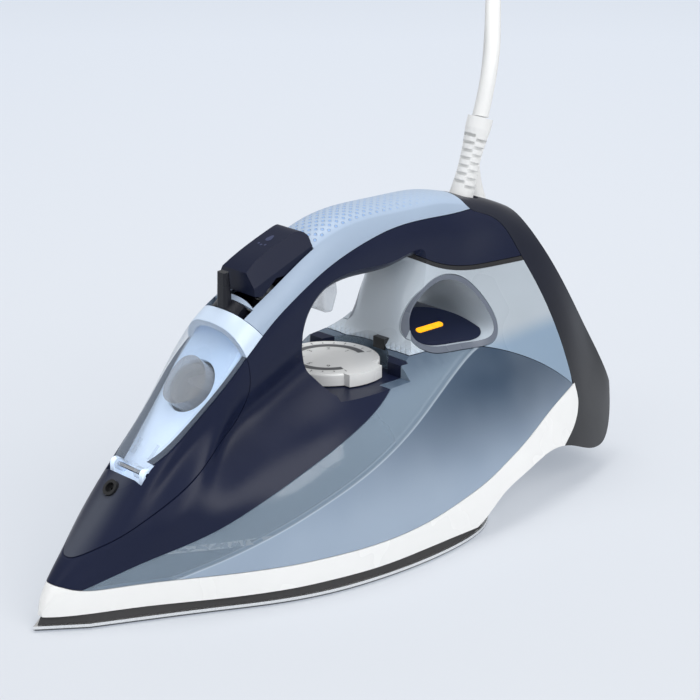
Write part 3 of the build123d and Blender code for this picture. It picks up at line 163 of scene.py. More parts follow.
class IronStudio(bpy.types.PropertyGroup):
    """Camera, light and floor."""

    camera_at: FloatVectorProperty(
        name="Camera", description="Place of the camera", size=3, subtype="XYZ",
        default=(0.6215, 0.6829, 0.4002), unit="LENGTH",
    )
    camera_target: FloatVectorProperty(
        name="Target", description="Point that the camera looks at", size=3, subtype="XYZ",
        default=(-0.0524, -0.0397, 0.0600), unit="LENGTH",
    )
    lens: FloatProperty(
        name="Lens", description="Focal length on a 36 mm sensor", default=115.71, min=20.0, max=300.0
    )
    backdrop: colour("Backdrop", "Floor as it is seen", (0.745, 0.791, 0.863))
    paper: colour("Paper", "Light that the floor and the walls give back", (0.785, 0.79, 0.80))
    key: FloatProperty(name="Key light", description="Power of the large front light", default=15.0, min=0.0)
    fill: FloatProperty(name="Fill light", description="Power of the side light", default=2.3, min=0.0)
    top: FloatProperty(name="Top light", description="Power of the overhead light", default=12.5, min=0.0)


# Finishes


class Finish:
    """A finish put together from shader nodes on one Principled shader."""

    def __init__(self, name, base, rough, **sockets):
        self.material = bpy.data.materials.new(name)
        self.material.use_nodes = True
        self.nodes = self.material.node_tree.nodes
        self.links = self.material.node_tree.links
        self.shader = self.nodes["Principled BSDF"]
        self.shader.inputs["Base Color"].default_value = (*base, 1.0)
        self.shader.inputs["Roughness"].default_value = rough
        for socket, value in sockets.items():
            self.shader.inputs[socket.replace("_", " ")].default_value = value
        self.coords = None

    def feed(self, socket, value):
        """Sets an input from a number, a colour or another node's output."""
        if isinstance(value, bpy.types.NodeSocket):
            self.links.new(value, socket)
        else:
            socket.default_value = value

    def to(self, name, output):
        """Joins an output to an input of the shader."""
        self.links.new(output, self.shader.inputs[name])

    def place(self):
        """The x, y and z of the piece at rest, in metres."""
        if self.coords is None:
            source = self.nodes.new("ShaderNodeTexCoord")
            split = self.nodes.new("ShaderNodeSeparateXYZ")
            self.links.new(source.outputs["Object"], split.inputs[0])
            self.coords = source.outputs["Object"], split.outputs
        return self.coords[1]

    def sum(self, operation, *values):
        """One step of arithmetic."""
        node = self.nodes.new("ShaderNodeMath")
        node.operation = operation
        for socket, value in zip(node.inputs, values):
            self.feed(socket, value)
        return node.outputs[0]

    def span(self, value, low, high, start=0.0, end=1.0):
        """Eases from start to end while the value goes from low to high."""
        node = self.nodes.new("ShaderNodeMapRange")
        node.interpolation_type = "SMOOTHSTEP"
        self.feed(node.inputs["Value"], value)
        for name, number in (("From Min", low), ("From Max", high), ("To Min", start), ("To Max", end)):
            node.inputs[name].default_value = number
        return node.outputs[0]

    def noise(self, scale, detail=3.0, stretch=(1.0, 1.0, 1.0)):
        """Noise fixed to the piece, with the scale in cells per metre."""
        self.place()
        turn = self.nodes.new("ShaderNodeMapping")
        turn.inputs["Scale"].default_value = stretch
        self.links.new(self.coords[0], turn.inputs["Vector"])
        node = self.nodes.new("ShaderNodeTexNoise")
        node.inputs["Scale"].default_value = scale
        node.inputs["Detail"].default_value = detail
        self.links.new(turn.outputs[0], node.inputs["Vector"])
        return node.outputs["Fac"]

    def mix(self, amount, first, second):
        """A colour between two colours."""
        node = self.nodes.new("ShaderNodeMix")
        node.data_type = "RGBA"
        self.feed(node.inputs[0], amount)
        for socket, value in ((node.inputs[6], first), (node.inputs[7], second)):
            self.feed(socket, value if isinstance(value, bpy.types.NodeSocket) else (*value, 1.0))
        return node.outputs[2]

    def bump(self, height, distance, strength=1.0):
        """Relief with its depth in metres."""
        node = self.nodes.new("ShaderNodeBump")
        node.inputs["Distance"].default_value = distance
        node.inputs["Strength"].default_value = strength
        self.links.new(height, node.inputs["Height"])
        self.to("Normal", node.outputs[0])

    def normal(self):
        """The x, y and z of the surface's direction."""
        source = self.nodes.new("ShaderNodeNewGeometry")
        split = self.nodes.new("ShaderNodeSeparateXYZ")
        self.links.new(source.outputs["Normal"], split.inputs[0])
        return split.outputs

    def facing(self, blend):
        """Nearness to a grazing view, for clear edges."""
        node = self.nodes.new("ShaderNodeLayerWeight")
        node.inputs["Blend"].default_value = blend
        return node.outputs["Facing"]

    def moulded(self, base, rough, spread=0.05, grain=900.0, depth=0.00002):
        """Fine unevenness of a moulded surface: colour, roughness and relief."""
        cloud = self.noise(35.0, 2.0)
        shade = tuple(min(1.0, c * (1.0 + spread)) for c in base)
        self.to("Base Color", self.mix(cloud, tuple(c * (1.0 - spread) for c in base), shade))
        self.to("Roughness", self.span(cloud, 0.3, 0.7, rough * 0.85, rough * 1.15))
        self.bump(self.noise(grain, 2.0), depth, 0.6)
        return self


FINISHES = {}


def finish(make):
    """Keeps each finish that is made once, under its function's name."""

    def kept(settings):
        if make.__name__ not in FINISHES:
            FINISHES[make.__name__] = make(settings).material
        return FINISHES[make.__name__]

    return kept


@finish
def white_gloss(settings):
    """Bright white moulded plastic."""
    return Finish("white_gloss", settings.white, 0.26, Coat_Weight=0.25, Coat_Roughness=0.08).moulded(
        settings.white, 0.26, 0.015
    )


@finish
def white_rubber(settings):
    """Soft white rubber of the boot, cord and plug."""
    base = tuple(c * 0.93 for c in settings.white)
    return Finish("white_rubber", base, 0.48).moulded(base, 0.48, 0.03, 1500.0, 0.00004)


@finish
def navy_gloss(settings):
    """Dark blue gloss plastic of the handle."""
    made = Finish("navy_gloss", settings.navy, 0.34, Specular_IOR_Level=0.18)
    return made.moulded(settings.navy, 0.34, 0.06)


@finish
def nose_gloss(settings):
    """Dark blue gloss plastic with a painted highlight: a paler band down the nose's ridge."""
    made = Finish("nose_gloss", settings.navy, 0.32, Specular_IOR_Level=0.16)
    made.moulded(settings.navy, 0.32, 0.06)
    x, y, z = made.place()
    # painted highlight: a paler band along the ridge towards the tip, where the key light is reflected
    ridge_highlight = made.span(made.sum("ABSOLUTE", y), 0.0012, 0.0105, 1.0, 0.0)
    ridge_highlight = made.sum("MULTIPLY", ridge_highlight, made.span(x, 0.085, 0.125))
    plain = made.shader.inputs["Base Color"].links[0].from_socket
    made.to("Base Color", made.mix(ridge_highlight, plain, (0.060, 0.068, 0.092)))
    return made


@finish
def button_navy(settings):
    """Satin dark blue plastic of the spray button."""
    base = tuple(c * 0.8 for c in settings.navy)
    made = Finish("button_navy", base, 0.36, Specular_IOR_Level=0.15)
    return made.moulded(base, 0.36, 0.06, 1400.0, 0.00003)


@finish
def black_plastic(settings):
    """Black satin plastic of small dark parts."""
    base = (0.010, 0.0105, 0.012)
    return Finish("black_plastic", base, 0.34).moulded(base, 0.34, 0.08, 1200.0, 0.00002)


@finish
def lever_black(settings):
    """Black plastic of the selector lever."""
    base = (0.008, 0.009, 0.014)
    return Finish("lever_black", base, 0.30, Specular_IOR_Level=0.3).moulded(base, 0.30, 0.08)


@finish
def black_rubber(settings):
    """Dull black rubber."""
    base = (0.012, 0.012, 0.014)
    return Finish("black_rubber", base, 0.62).moulded(base, 0.62, 0.1, 1600.0, 0.00004)


@finish
def heel_gloss(settings):
    """Dark plastic of the rear cover, bluer towards the handle."""
    made = Finish("heel_gloss", settings.heel, 0.33, Specular_IOR_Level=0.3)
    made.moulded(settings.heel, 0.33, 0.05)
    z = made.place()[2]
    plain = made.shader.inputs["Base Color"].links[0].from_socket
    made.to("Base Color", made.mix(made.span(z, 0.03, 0.12), (0.017, 0.0175, 0.020), plain))
    return made


@finish
def panel_satin(settings):
    """Fine-grained rubbery panel that the iron stands on."""
    return Finish("panel_satin", settings.panel, 0.42).moulded(settings.panel, 0.42, 0.08, 2200.0, 0.00006)


def dimples(made, along, across, pitch, row, size):
    """Nearness to the middle of staggered dimples, from 0 to 1."""
    pits = []
    for shift in (0.0, 0.5):
        parts = []
        for value, step in ((along, pitch), (across, row)):
            cell = made.sum("FRACT", made.sum("ADD", made.sum("DIVIDE", value, step), 100.0 + shift))
            parts.append(made.sum("MULTIPLY", made.sum("SUBTRACT", cell, 0.5), step))
        squares = [made.sum("MULTIPLY", part, part) for part in parts]
        pits.append(made.sum("SQRT", made.sum("ADD", *squares)))
    return made.span(made.sum("MINIMUM", *pits), size * 0.55, size, 1.0, 0.0)


@finish
def grip_soft(settings):
    """Soft-touch light blue with rows of dimples along the flat top, which has painted light making it paler.
    """
    made = Finish("grip_soft", settings.grip, 0.42, Sheen_Weight=0.12)
    x, y, z = made.place()
    cloud = made.noise(60.0, 2.0)
    base = made.mix(cloud, tuple(c * 0.97 for c in settings.grip), tuple(c * 1.03 for c in settings.grip))
    side = made.sum("ABSOLUTE", y)
    flat = made.span(side, 0.0112, 0.0122, 1.0, 0.0)
    field = made.sum("MULTIPLY", made.span(x, 0.0140, 0.0165, 1.0, 0.0), made.span(x, -0.070, 0.0))
    pits = dimples(made, x, y, settings.dimple_pitch, 0.0040, 0.00085)
    pits = made.sum("MULTIPLY", pits, made.sum("MULTIPLY", field, made.span(side, 0.0102, 0.0106, 1.0, 0.0)))
    # painted light: the flat top drawn paler than the sides, as if lit from above
    pale = made.sum("MULTIPLY", flat, made.span(z, 0.126, 0.133))
    base = made.mix(pale, base, tuple(min(1.0, c * 1.15) for c in settings.grip))
    made.to("Base Color", made.mix(pits, base, settings.dimple))
    made.to("Roughness", made.span(made.noise(700.0), 0.3, 0.7, 0.38, 0.47))
    height = made.sum("SUBTRACT", made.sum("MULTIPLY", made.noise(1800.0, 2.0), 0.06), pits)
    made.bump(height, 0.0004)
    return made


@finish
def collar_satin(settings):
    """Pale blue satin plastic of the collar."""
    made = Finish("collar_satin", settings.collar, 0.32, Coat_Weight=0.15)
    return made.moulded(settings.collar, 0.32, 0.02)


@finish
def tank_blue(settings):
    """Tinted tank plastic: frosted below, clear above a slanting line, with painted shade darker to the upper
    rear, painted light paler at the lower front, and a painted highlight along the line.
    """
    made = Finish("tank_blue", settings.tank_pale, 0.16, Coat_Weight=0.25, Coat_Roughness=0.04)
    x, y, z = made.place()
    # painted light and shade: paler at the lower front, darker towards the upper rear
    back = made.span(x, 0.060, -0.085)
    rise = made.span(z, 0.020, 0.066)
    depth = made.sum("MULTIPLY", made.sum("ADD", made.sum("MULTIPLY", back, 0.55), 0.45), rise)
    tint = made.mix(depth, settings.tank_pale, settings.tank_deep)
    cloud = made.noise(18.0, 2.0)
    tint = made.mix(made.span(cloud, 0.35, 0.75, 0.0, 0.12), tint, (0.55, 0.64, 0.74))
    line = made.sum("ADD", made.sum("MULTIPLY", made.sum("SUBTRACT", NOSE_X, x), 0.361), -0.0026)
    over = made.sum("SUBTRACT", z, line)
    side = made.span(made.normal()[2], 0.62, 0.78, 1.0, 0.0)
    clear = made.sum("MULTIPLY", made.span(over, -0.0003, 0.0003), side)
    # painted highlight: a thin paler line along the slanting line
    edge = made.span(made.sum("ABSOLUTE", over), 0.0002, 0.0007, 1.0, 0.0)
    tint = made.mix(clear, tint, (0.27, 0.36, 0.46))
    made.to("Base Color", made.mix(made.sum("MULTIPLY", edge, 0.55), tint, (0.55, 0.64, 0.74)))
    made.to("Roughness", made.span(clear, 0.0, 1.0, 0.22, 0.10))
    rim = made.facing(0.35)
    see = made.sum("ADD", 0.42, made.sum("MULTIPLY", rim, 0.5))
    frosted = made.sum("SUBTRACT", 1.0, clear)
    made.to("Alpha", made.sum("ADD", made.sum("MULTIPLY", clear, see), made.sum("MULTIPLY", frosted, 0.93)))
    made.bump(made.noise(420.0, 2.0), 0.00002, 0.4)
    return made


@finish
def pillar_frost(settings):
    """Frosted pale blue plastic, textured with small lozenges near the deck, with painted light making it
    paler towards the front.
    """
    made = Finish("pillar_frost", settings.frost, 0.30, Coat_Weight=0.4, Coat_Roughness=0.06)
    x, y, z = made.place()
    cloud = made.noise(16.0, 2.0)
    pale = tuple(min(1.0, c * 1.35) for c in settings.frost)
    base = made.mix(made.span(cloud, 0.3, 0.7), settings.frost, tuple(c * 1.08 for c in settings.frost))
    # painted light: paler towards the front of the pillar
    base = made.mix(made.span(x, -0.075, -0.020), base, pale)
    low = made.span(z, 0.074, 0.083, 1.0, 0.0)
    base = made.mix(low, base, (0.22, 0.31, 0.42))
    bead = dimples(made, x, y, 0.0032, 0.0032, 0.0013)
    bead = made.sum("MULTIPLY", bead, made.span(z, 0.080, 0.084, 1.0, 0.0))
    bead = made.sum("MULTIPLY", bead, made.span(x, -0.066, -0.060))
    made.to("Base Color", made.mix(made.sum("MULTIPLY", bead, 0.6), base, (0.50, 0.60, 0.72)))
    made.to("Roughness", made.span(cloud, 0.2, 0.8, 0.24, 0.36))
    made.bump(made.sum("ADD", bead, made.sum("MULTIPLY", made.noise(900.0), 0.05)), 0.0003)
    return made


@finish
def ring_trim(settings):
    """Satin blue-grey ring with a pale frosted lining."""
    made = Finish("ring_trim", settings.trim, 0.26).moulded(settings.trim, 0.26, 0.05)
    lining = made.span(made.sum("ABSOLUTE", made.normal()[1]), 0.25, 0.40, 1.0, 0.0)
    plain = made.shader.inputs["Base Color"].links[0].from_socket
    made.to("Base Color", made.mix(lining, plain, tuple(min(1.0, c * 1.3) for c in settings.frost)))
    return made


@finish
def tray_blue(settings):
    """Pale blue tray under the door, with painted light: brighter towards the nose and glowing there, though
    it is no lamp.
    """
    made = Finish("tray_blue", settings.tray, 0.30)
    x = made.place()[0]
    bright = tuple(c * 0.75 + 0.29 for c in settings.tray)
    cloud = made.noise(50.0)
    # painted light: the tray drawn brighter towards the nose
    base = made.mix(made.span(x, 0.050, 0.100), settings.tray, bright)
    base = made.mix(made.sum("MULTIPLY", cloud, 0.08), base, (1.0, 1.0, 1.0))
    made.to("Base Color", base)
    # painted light: the tray glows, though it is no lamp, most towards the nose
    made.to("Emission Color", base)
    made.to("Emission Strength", made.span(x, 0.040, 0.100, 0.10, 0.42))
    made.to("Roughness", made.span(cloud, 0.3, 0.7, 0.26, 0.34))
    made.bump(made.noise(800.0), 0.00002, 0.5)
    return made


def clear(name, tint, cover, rim, rough=0.05):
    """Clear plastic that shows its edges more than its faces."""
    made = Finish(name, tint, rough, IOR=1.5, Coat_Weight=0.4, Coat_Roughness=0.02)
    made.to("Base Color", made.mix(made.noise(25.0), tuple(c * 0.9 for c in tint), tint))
    made.to("Alpha", made.sum("ADD", cover, made.sum("MULTIPLY", made.facing(0.3), rim)))
    made.bump(made.noise(120.0, 1.0), 0.00004, 0.5)
    return made


@finish
def door_clear(settings):
    """Clear door over the filler."""
    return clear("door_clear", (0.42, 0.50, 0.60), settings.door_cover, 0.5)


@finish
def plug_clear(settings):
    """Clear greyish filler plug."""
    return clear("plug_clear", (0.42, 0.44, 0.47), 0.34, 0.5, 0.10)


@finish
def trigger_clear(settings):
    """Clear steam trigger."""
    return clear("trigger_clear", (0.40, 0.47, 0.55), 0.22, 0.5, 0.08)


@finish
def hose_clear(settings):
    """Milky hose of the spray."""
    return clear("hose_clear", (0.62, 0.66, 0.70), 0.5, 0.4, 0.2)


@finish
def amber_lens(settings):
    """Lit amber lens."""
    made = Finish("amber_lens", settings.amber, 0.22, Emission_Strength=0.9, Coat_Weight=0.5)
    glow = made.span(made.noise(500.0), 0.25, 0.75)
    lit = made.mix(glow, tuple(c * 0.85 for c in settings.amber), settings.amber)
    made.to("Base Color", lit)
    made.to("Emission Color", lit)
    return made


def metal(name, base, rough, brushed, depth=0.00002):
    """Bare metal with fine brushing along one way."""
    made = Finish(name, base, rough, Metallic=1.0)
    grain = made.noise(300.0, 4.0, brushed)
    bright = tuple(min(1.0, c * 1.1) for c in base)
    made.to("Base Color", made.mix(grain, tuple(c * 0.86 for c in base), bright))
    made.to("Roughness", made.span(grain, 0.25, 0.75, rough * 0.75, rough * 1.3))
    made.bump(grain, depth, 0.6)
    return made


@finish
def sole_metal(settings):
    """Sole: dark coated side over a bright rolled rim and a dark foot, with a brushed face below."""
    made = metal("sole_metal", (0.30, 0.31, 0.33), 0.28, (0.15, 4.0, 4.0))
    z = made.place()[2]
    plain = made.shader.inputs["Base Color"].links[0].from_socket
    band = made.span(z, 0.0022, 0.0026)
    rim = made.sum("MULTIPLY", made.span(z, 0.0008, 0.0011), made.span(z, 0.0021, 0.0025, 1.0, 0.0))
    foot = made.sum("MULTIPLY", made.span(z, 0.0001, 0.0003), made.span(z, 0.0007, 0.0010, 1.0, 0.0))
    base = made.mix(band, plain, (0.060, 0.062, 0.068))
    base = made.mix(rim, base, (0.93, 0.93, 0.92))
    made.to("Base Color", made.mix(foot, base, (0.045, 0.046, 0.050)))
    return made


@finish
def cast_metal(settings):
    """Rough cast aluminium, dark and not metallic round its foot."""
    made = metal("cast_metal", (0.42, 0.43, 0.45), 0.5, (1.0, 1.0, 1.0), 0.0002)
    bare = made.span(made.place()[2], 0.0085, 0.0090)
    plain = made.shader.inputs["Base Color"].links[0].from_socket
    made.to("Base Color", made.mix(bare, (0.050, 0.050, 0.052), plain))
    made.to("Metallic", bare)
    made.to("Specular IOR Level", made.span(bare, 0.0, 1.0, 0.15, 0.5))
    return made


@finish
def sheet_steel(settings):
    """Rolled sheet steel."""
    return metal("sheet_steel", (0.55, 0.56, 0.58), 0.32, (0.2, 3.0, 3.0))


@finish
def pin_steel(settings):
    """Bright turned steel."""
    return metal("pin_steel", (0.68, 0.69, 0.71), 0.2, (3.0, 0.3, 3.0))


@finish
def heater_tube(settings):
    """Heater tube, blued by heat."""
    return metal("heater_tube", (0.22, 0.22, 0.25), 0.38, (1.0, 1.0, 1.0))


@finish
def rod_brass(settings):
    """Bright brass."""
    return metal("rod_brass", (0.72, 0.55, 0.26), 0.25, (2.0, 2.0, 0.3))


@finish
def inner_pale(settings):
    """Plain pale plastic inside the body."""
    base = (0.46, 0.49, 0.52)
    return Finish("inner_pale", base, 0.42).moulded(base, 0.42, 0.04)


@finish
def board_green(settings):
    """Lacquered circuit board."""
    base = (0.035, 0.16, 0.07)
    made = Finish("board_green", base, 0.25, Coat_Weight=0.5)
    tracks = made.span(made.noise(260.0, 1.0, (1.0, 3.0, 0.4)), 0.52, 0.56)
    made.to("Base Color", made.mix(tracks, base, (0.07, 0.26, 0.12)))
    made.bump(tracks, 0.00004)
    return made


@finish
def mark_grey(settings):
    """Matte printing ink."""
    base = settings.print_grey
    made = Finish("mark_grey", base, 0.5)
    dark, pale = tuple(c * 0.9 for c in base), tuple(c * 1.1 for c in base)
    made.to("Base Color", made.mix(made.noise(900.0), dark, pale))
    return made


@finish
def mark_navy(settings):
    """Raised mark on the spray button."""
    base = tuple(c * 2.6 for c in settings.navy)
    made = Finish("mark_navy", base, 0.36)
    made.to("Base Color", made.mix(made.noise(700.0), tuple(c * 0.9 for c in base), base))
    return made


def dress(material, *names):
    """Gives CAD nodes a finish."""
    for name in names:
        mesh = NODES[name].data
        if not mesh.materials:
            mesh.materials.append(material)
        for slot in NODES[name].material_slots:
            slot.material = material


# Printed marks


def bar_mark(start, end, width, steps=4):
    """A straight mark in two dimensions: corner points and faces."""
    start, end = Vector(start), Vector(end)
    side = (end - start).orthogonal().normalized() * (width / 2)
    points, faces = [], []
    for step in range(steps + 1):
        middle = start.lerp(end, step / steps)
        points += [middle + side, middle - side]
    for step in range(steps):
        a = 2 * step
        faces.append((a, a + 1, a + 3, a + 2))
    return points, faces


def arc_mark(centre, radius, first, last, width, steps=24):
    """A curved mark, with its angles in degrees."""
    points, faces = [], []
    for step in range(steps + 1):
        angle = math.radians(first + (last - first) * step / steps)
        way = Vector((math.cos(angle), math.sin(angle)))
        points += [Vector(centre) + way * (radius + width / 2), Vector(centre) + way * (radius - width / 2)]
    for step in range(steps):
        a = 2 * step
        faces.append((a, a + 1, a + 3, a + 2))
    return points, faces


def dot_mark(centre, radius, steps=20):
    """A round mark."""
    return arc_mark(centre, radius / 2, 0.0, 360.0, radius, steps)


def drop_mark(centre, radius, turn=0.0):
    """A water drop with its point to one side."""
    points = [Vector(centre)]
    for step in range(28):
        angle = 2 * math.pi * step / 28
        reach = radius * (1.0 + 0.9 * max(0.0, math.cos(angle)) ** 6)
        points.append(Vector(centre) + Vector((math.cos(angle + turn), math.sin(angle + turn))) * reach)
    return points, [(0, 1 + step, 1 + (step + 1) % 28) for step in range(28)]


def figure_marks(text, centre, height):
    """Plain figures as flat marks."""
    curve = bpy.data.curves.new("figure", "FONT")
    curve.body = text
    curve.size = height * 1.4
    curve.align_x, curve.align_y = "CENTER", "CENTER"
    holder = bpy.data.objects.new("figure", curve)
    bpy.context.scene.collection.objects.link(holder)
    bpy.context.view_layer.update()
    mesh = bpy.data.meshes.new_from_object(holder)
    points = [Vector(v.co[:2]) + Vector(centre) for v in mesh.vertices]
    faces = [tuple(face.vertices) for face in mesh.polygons]
    bpy.data.objects.remove(holder)
    bpy.data.meshes.remove(mesh)
    bpy.data.curves.remove(curve)
    return points, faces


def turned(mark, angle):
    """A mark turned about the origin, in degrees."""
    points, faces = mark
    cosine, sine = math.cos(math.radians(angle)), math.sin(math.radians(angle))
    return [Vector((p.x * cosine - p.y * sine, p.x * sine + p.y * cosine)) for p in points], faces


def stamp(name, node, body, groups, material, lift):
    """Lays flat marks on a node's surface, each group dropped along its place's normal."""
    source = NODES[node].data
    ground = BVHTree.FromPolygons([v.co for v in source.vertices], [p.vertices for p in source.polygons])
    points, faces, ways = [], [], []
    for (origin, across, up), marks in groups:
        normal = across.cross(up).normalized()
        for mark, corners in marks:
            base = len(points)
            for p in mark:
                above = origin + across * p.x + up * p.y + normal * 0.02
                hit = ground.ray_cast(above, -normal, 0.05)[0]
                if hit is None:
                    raise RuntimeError(f"{name}: a mark runs off {node}")
                points.append(hit + normal * lift)
            faces += [tuple(base + corner for corner in face) for face in corners]
            ways += [normal] * len(corners)
    mesh = bpy.data.meshes.new(name)
    mesh.from_pydata(points, [], faces)
    shape = bmesh.new()
    shape.from_mesh(mesh)
    shape.faces.ensure_lookup_table()
    bmesh.ops.reverse_faces(shape, faces=[f for f, way in zip(shape.faces, ways) if f.normal.dot(way) < 0])
    bmesh.ops.remove_doubles(shape, verts=shape.verts, dist=1e-6)
    shape.to_mesh(mesh)
    shape.free()
    mesh.materials.append(material)
    piece = bpy.data.objects.new(name, mesh)
    bpy.context.scene.collection.objects.link(piece)
    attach(piece, body)
    return piece


# Cord


def coil_points():
    """Two layers of turns: inwards on the upper one, down, and outwards on the lower one."""
    points = []
    half, count = COIL_SWEEP / 2, int(COIL_SWEEP / COIL_STEP)
    inset = 0.75 + 0.25 * math.cos(math.radians(COIL_STEP))
    top, low = COIL_LAYERS
    for step in range(1, count + 1):
        sweep = COIL_SWEEP * step / (count + 1)
        away = (sweep - half) / 360.0
        radius = (COIL_OUTER_TURN - COIL_PITCH * (half / 360.0 - abs(away))) / inset
        fall = math.sin(math.pi / 2 * max(-1.0, min(1.0, away / 0.45)))
        height = (top + low) / 2 - (top - low) / 2 * fall
        angle = math.radians(COIL_FROM + sweep)
        points.append((COIL_AT[0] + radius * math.cos(angle), COIL_AT[1] + radius * math.sin(angle), height))
    return points


def cord_mesh(diameter):
    """The cord's tube and the line that it follows, from one smooth spline."""
    curve = bpy.data.curves.new("cord_line", "CURVE")
    curve.dimensions = "3D"
    route = CORD_ROUTE + coil_points() + TAIL_ROUTE
    line = curve.splines.new("NURBS")
    line.points.add(len(route) - 1)
    for point, (u, y, z) in zip(line.points, route):
        point.co = (*spot(u, y, z), 1.0)
    line.order_u = 3
    line.use_endpoint_u = True
    line.resolution_u = 6
    holder = bpy.data.objects.new("cord_line", curve)
    bpy.context.scene.collection.objects.link(holder)
    bpy.context.view_layer.update()
    thread = bpy.data.meshes.new_from_object(holder)
    path = [vertex.co.copy() for vertex in thread.vertices]
    bpy.data.meshes.remove(thread)
    curve.bevel_depth = diameter / 2
    curve.bevel_resolution = 5
    curve.use_fill_caps = True
    bpy.context.view_layer.update()
    tube = bpy.data.meshes.new_from_object(holder)
    tube.name = "mains_cord"
    bpy.data.objects.remove(holder)
    bpy.data.curves.remove(curve)
    tube.shade_smooth()
    return tube, path


# Operators


class IRON_OT_stage(bpy.types.Operator):
    """Floor, soft light and the camera"""

    bl_idname = "iron.stage"
    bl_label = "Stage"

    def execute(self, context):
        studio = context.scene.iron_studio
        scene = context.scene
        scene.view_settings.view_transform = "Standard"
        camera = bpy.data.cameras.new("camera")
        camera.lens, camera.sensor_width = studio.lens, 36.0
        camera.clip_start, camera.clip_end = 0.05, 50.0
        eye = bpy.data.objects.new("camera", camera)
        eye.location = studio.camera_at
        gaze = Vector(studio.camera_target) - Vector(studio.camera_at)
        eye.rotation_euler = gaze.to_track_quat("-Z", "Y").to_euler()
        scene.collection.objects.link(eye)
        scene.camera = eye
        self.floor(scene, studio)
        self.world(scene, studio)
        lights = (
            ("key", (0.15, 1.30, 1.15), (0.02, 0.0, 0.06), (1.3, 0.9), studio.key),
            ("fill", (1.35, 0.10, 0.75), (0.05, 0.0, 0.08), (0.9, 1.1), studio.fill),
            ("top", (-0.10, -0.15, 1.50), (-0.05, 0.0, 0.1), (1.1, 0.8), studio.top),
        )
        for name, at, aim, size, power in lights:
            lamp = bpy.data.lights.new(name, "AREA")
            lamp.shape = "RECTANGLE"
            lamp.size, lamp.size_y = size
            lamp.energy = power
            holder = bpy.data.objects.new(name, lamp)
            holder.location = at
            holder.rotation_euler = (Vector(aim) - Vector(at)).to_track_quat("-Z", "Y").to_euler()
            scene.collection.objects.link(holder)
        return {"FINISHED"}

    def floor(self, scene, studio):
        """A wide pale floor that keeps the shadow."""
        mesh = bpy.data.meshes.new("floor")
        signs = ((-1, -1), (1, -1), (1, 1), (-1, 1))
        corners = [(x * FLOOR_REACH, y * FLOOR_REACH, -FLOOR_DROP) for x, y in signs]
        mesh.from_pydata(corners, [], [(0, 1, 2, 3)])
        piece = bpy.data.objects.new("floor", mesh)
        scene.collection.objects.link(piece)
        material = bpy.data.materials.new("floor_paper")
        material.use_nodes = True
        nodes, links = material.node_tree.nodes, material.node_tree.links
        nodes.clear()
        paper = nodes.new("ShaderNodeBsdfDiffuse")
        paper.inputs["Color"].default_value = (*studio.paper, 1.0)
        glow = nodes.new("ShaderNodeEmission")
        tint = [(b - (1.0 - FLOOR_GLOW) * p) / FLOOR_GLOW for b, p in zip(studio.backdrop, studio.paper)]
        glow.inputs["Color"].default_value = (*tint, 1.0)
        place = nodes.new("ShaderNodeNewGeometry")
        depth = nodes.new("ShaderNodeVectorMath")
        depth.operation = "DOT_PRODUCT"
        depth.inputs[1].default_value = FLOOR_WAY
        links.new(place.outputs["Position"], depth.inputs[0])
        even = nodes.new("ShaderNodeMapRange")
        for socket, number in zip(even.inputs[1:5], FLOOR_EVEN):
            socket.default_value = number
        links.new(depth.outputs["Value"], even.inputs["Value"])
        links.new(even.outputs[0], glow.inputs["Strength"])
        rays = nodes.new("ShaderNodeLightPath")
        seen = nodes.new("ShaderNodeMath")
        seen.operation = "MAXIMUM"
        links.new(rays.outputs["Is Camera Ray"], seen.inputs[0])
        links.new(rays.outputs["Is Glossy Ray"], seen.inputs[1])
        through = nodes.new("ShaderNodeMath")
        through.operation = "MAXIMUM"
        links.new(seen.outputs[0], through.inputs[0])
        links.new(rays.outputs["Is Transmission Ray"], through.inputs[1])
        share = nodes.new("ShaderNodeMath")
        share.operation = "MULTIPLY"
        share.inputs[1].default_value = FLOOR_GLOW
        links.new(through.outputs[0], share.inputs[0])
        blend = nodes.new("ShaderNodeMixShader")
        links.new(share.outputs[0], blend.inputs[0])
        links.new(paper.outputs[0], blend.inputs[1])
        links.new(glow.outputs[0], blend.inputs[2])
        out = nodes.new("ShaderNodeOutputMaterial")
        links.new(blend.outputs[0], out.inputs["Surface"])
        mesh.materials.append(material)

    def world(self, scene, studio):
        """Even pale light from all round."""
        world = bpy.data.worlds.new("studio")
        world.use_nodes = True
        back = world.node_tree.nodes["Background"]
        back.inputs["Color"].default_value = (*studio.paper, 1.0)
        back.inputs["Strength"].default_value = 0.62
        scene.world = world


class IRON_OT_cord(bpy.types.Operator):
    """Mains cord from the boot to the coil and its plug"""

    bl_idname = "iron.cord"
    bl_label = "Cord"

    def execute(self, context):
        settings, sizes = context.scene.iron_finishes, context.scene.iron_sizes
        tube, path = cord_mesh(sizes.cord_diameter)
        tube.materials.append(white_rubber(settings))
        piece = bpy.data.objects.new("mains_cord", tube)
        context.scene.collection.objects.link(piece)
        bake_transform(piece)
        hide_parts("cord", "cord_coil", "cord_tail")
        dress(white_rubber(settings), "cord_boot", "plug_body")
        dress(white_gloss(settings), "cord_ball", "cord_socket")
        dress(black_rubber(settings), "coil_tie")
        dress(pin_steel(settings), "plug_pins")
        return {"FINISHED"}


class IRON_OT_sole(bpy.types.Operator):
    """Soleplate, heater and the white skirt"""

    bl_idname = "iron.sole"
    bl_label = "Sole and skirt"

    def execute(self, context):
        settings = context.scene.iron_finishes
        dress(sole_metal(settings), "soleplate")
        dress(cast_metal(settings), "heater_casting")
        dress(heater_tube(settings), "heating_element")
        dress(sheet_steel(settings), "steam_chamber_cover", "thermostat")
        dress(pin_steel(settings), "cover_screws")
        dress(rod_brass(settings), "thermal_fuse")
        dress(white_gloss(settings), "skirt")
        return {"FINISHED"}


class IRON_OT_tank(bpy.types.Operator):
    """Water tank and its floor"""

    bl_idname = "iron.tank"
    bl_label = "Water tank"

    def execute(self, context):
        settings = context.scene.iron_finishes
        dress(tank_blue(settings), "water_tank")
        dress(inner_pale(settings), "tank_floor")
        return {"FINISHED"}


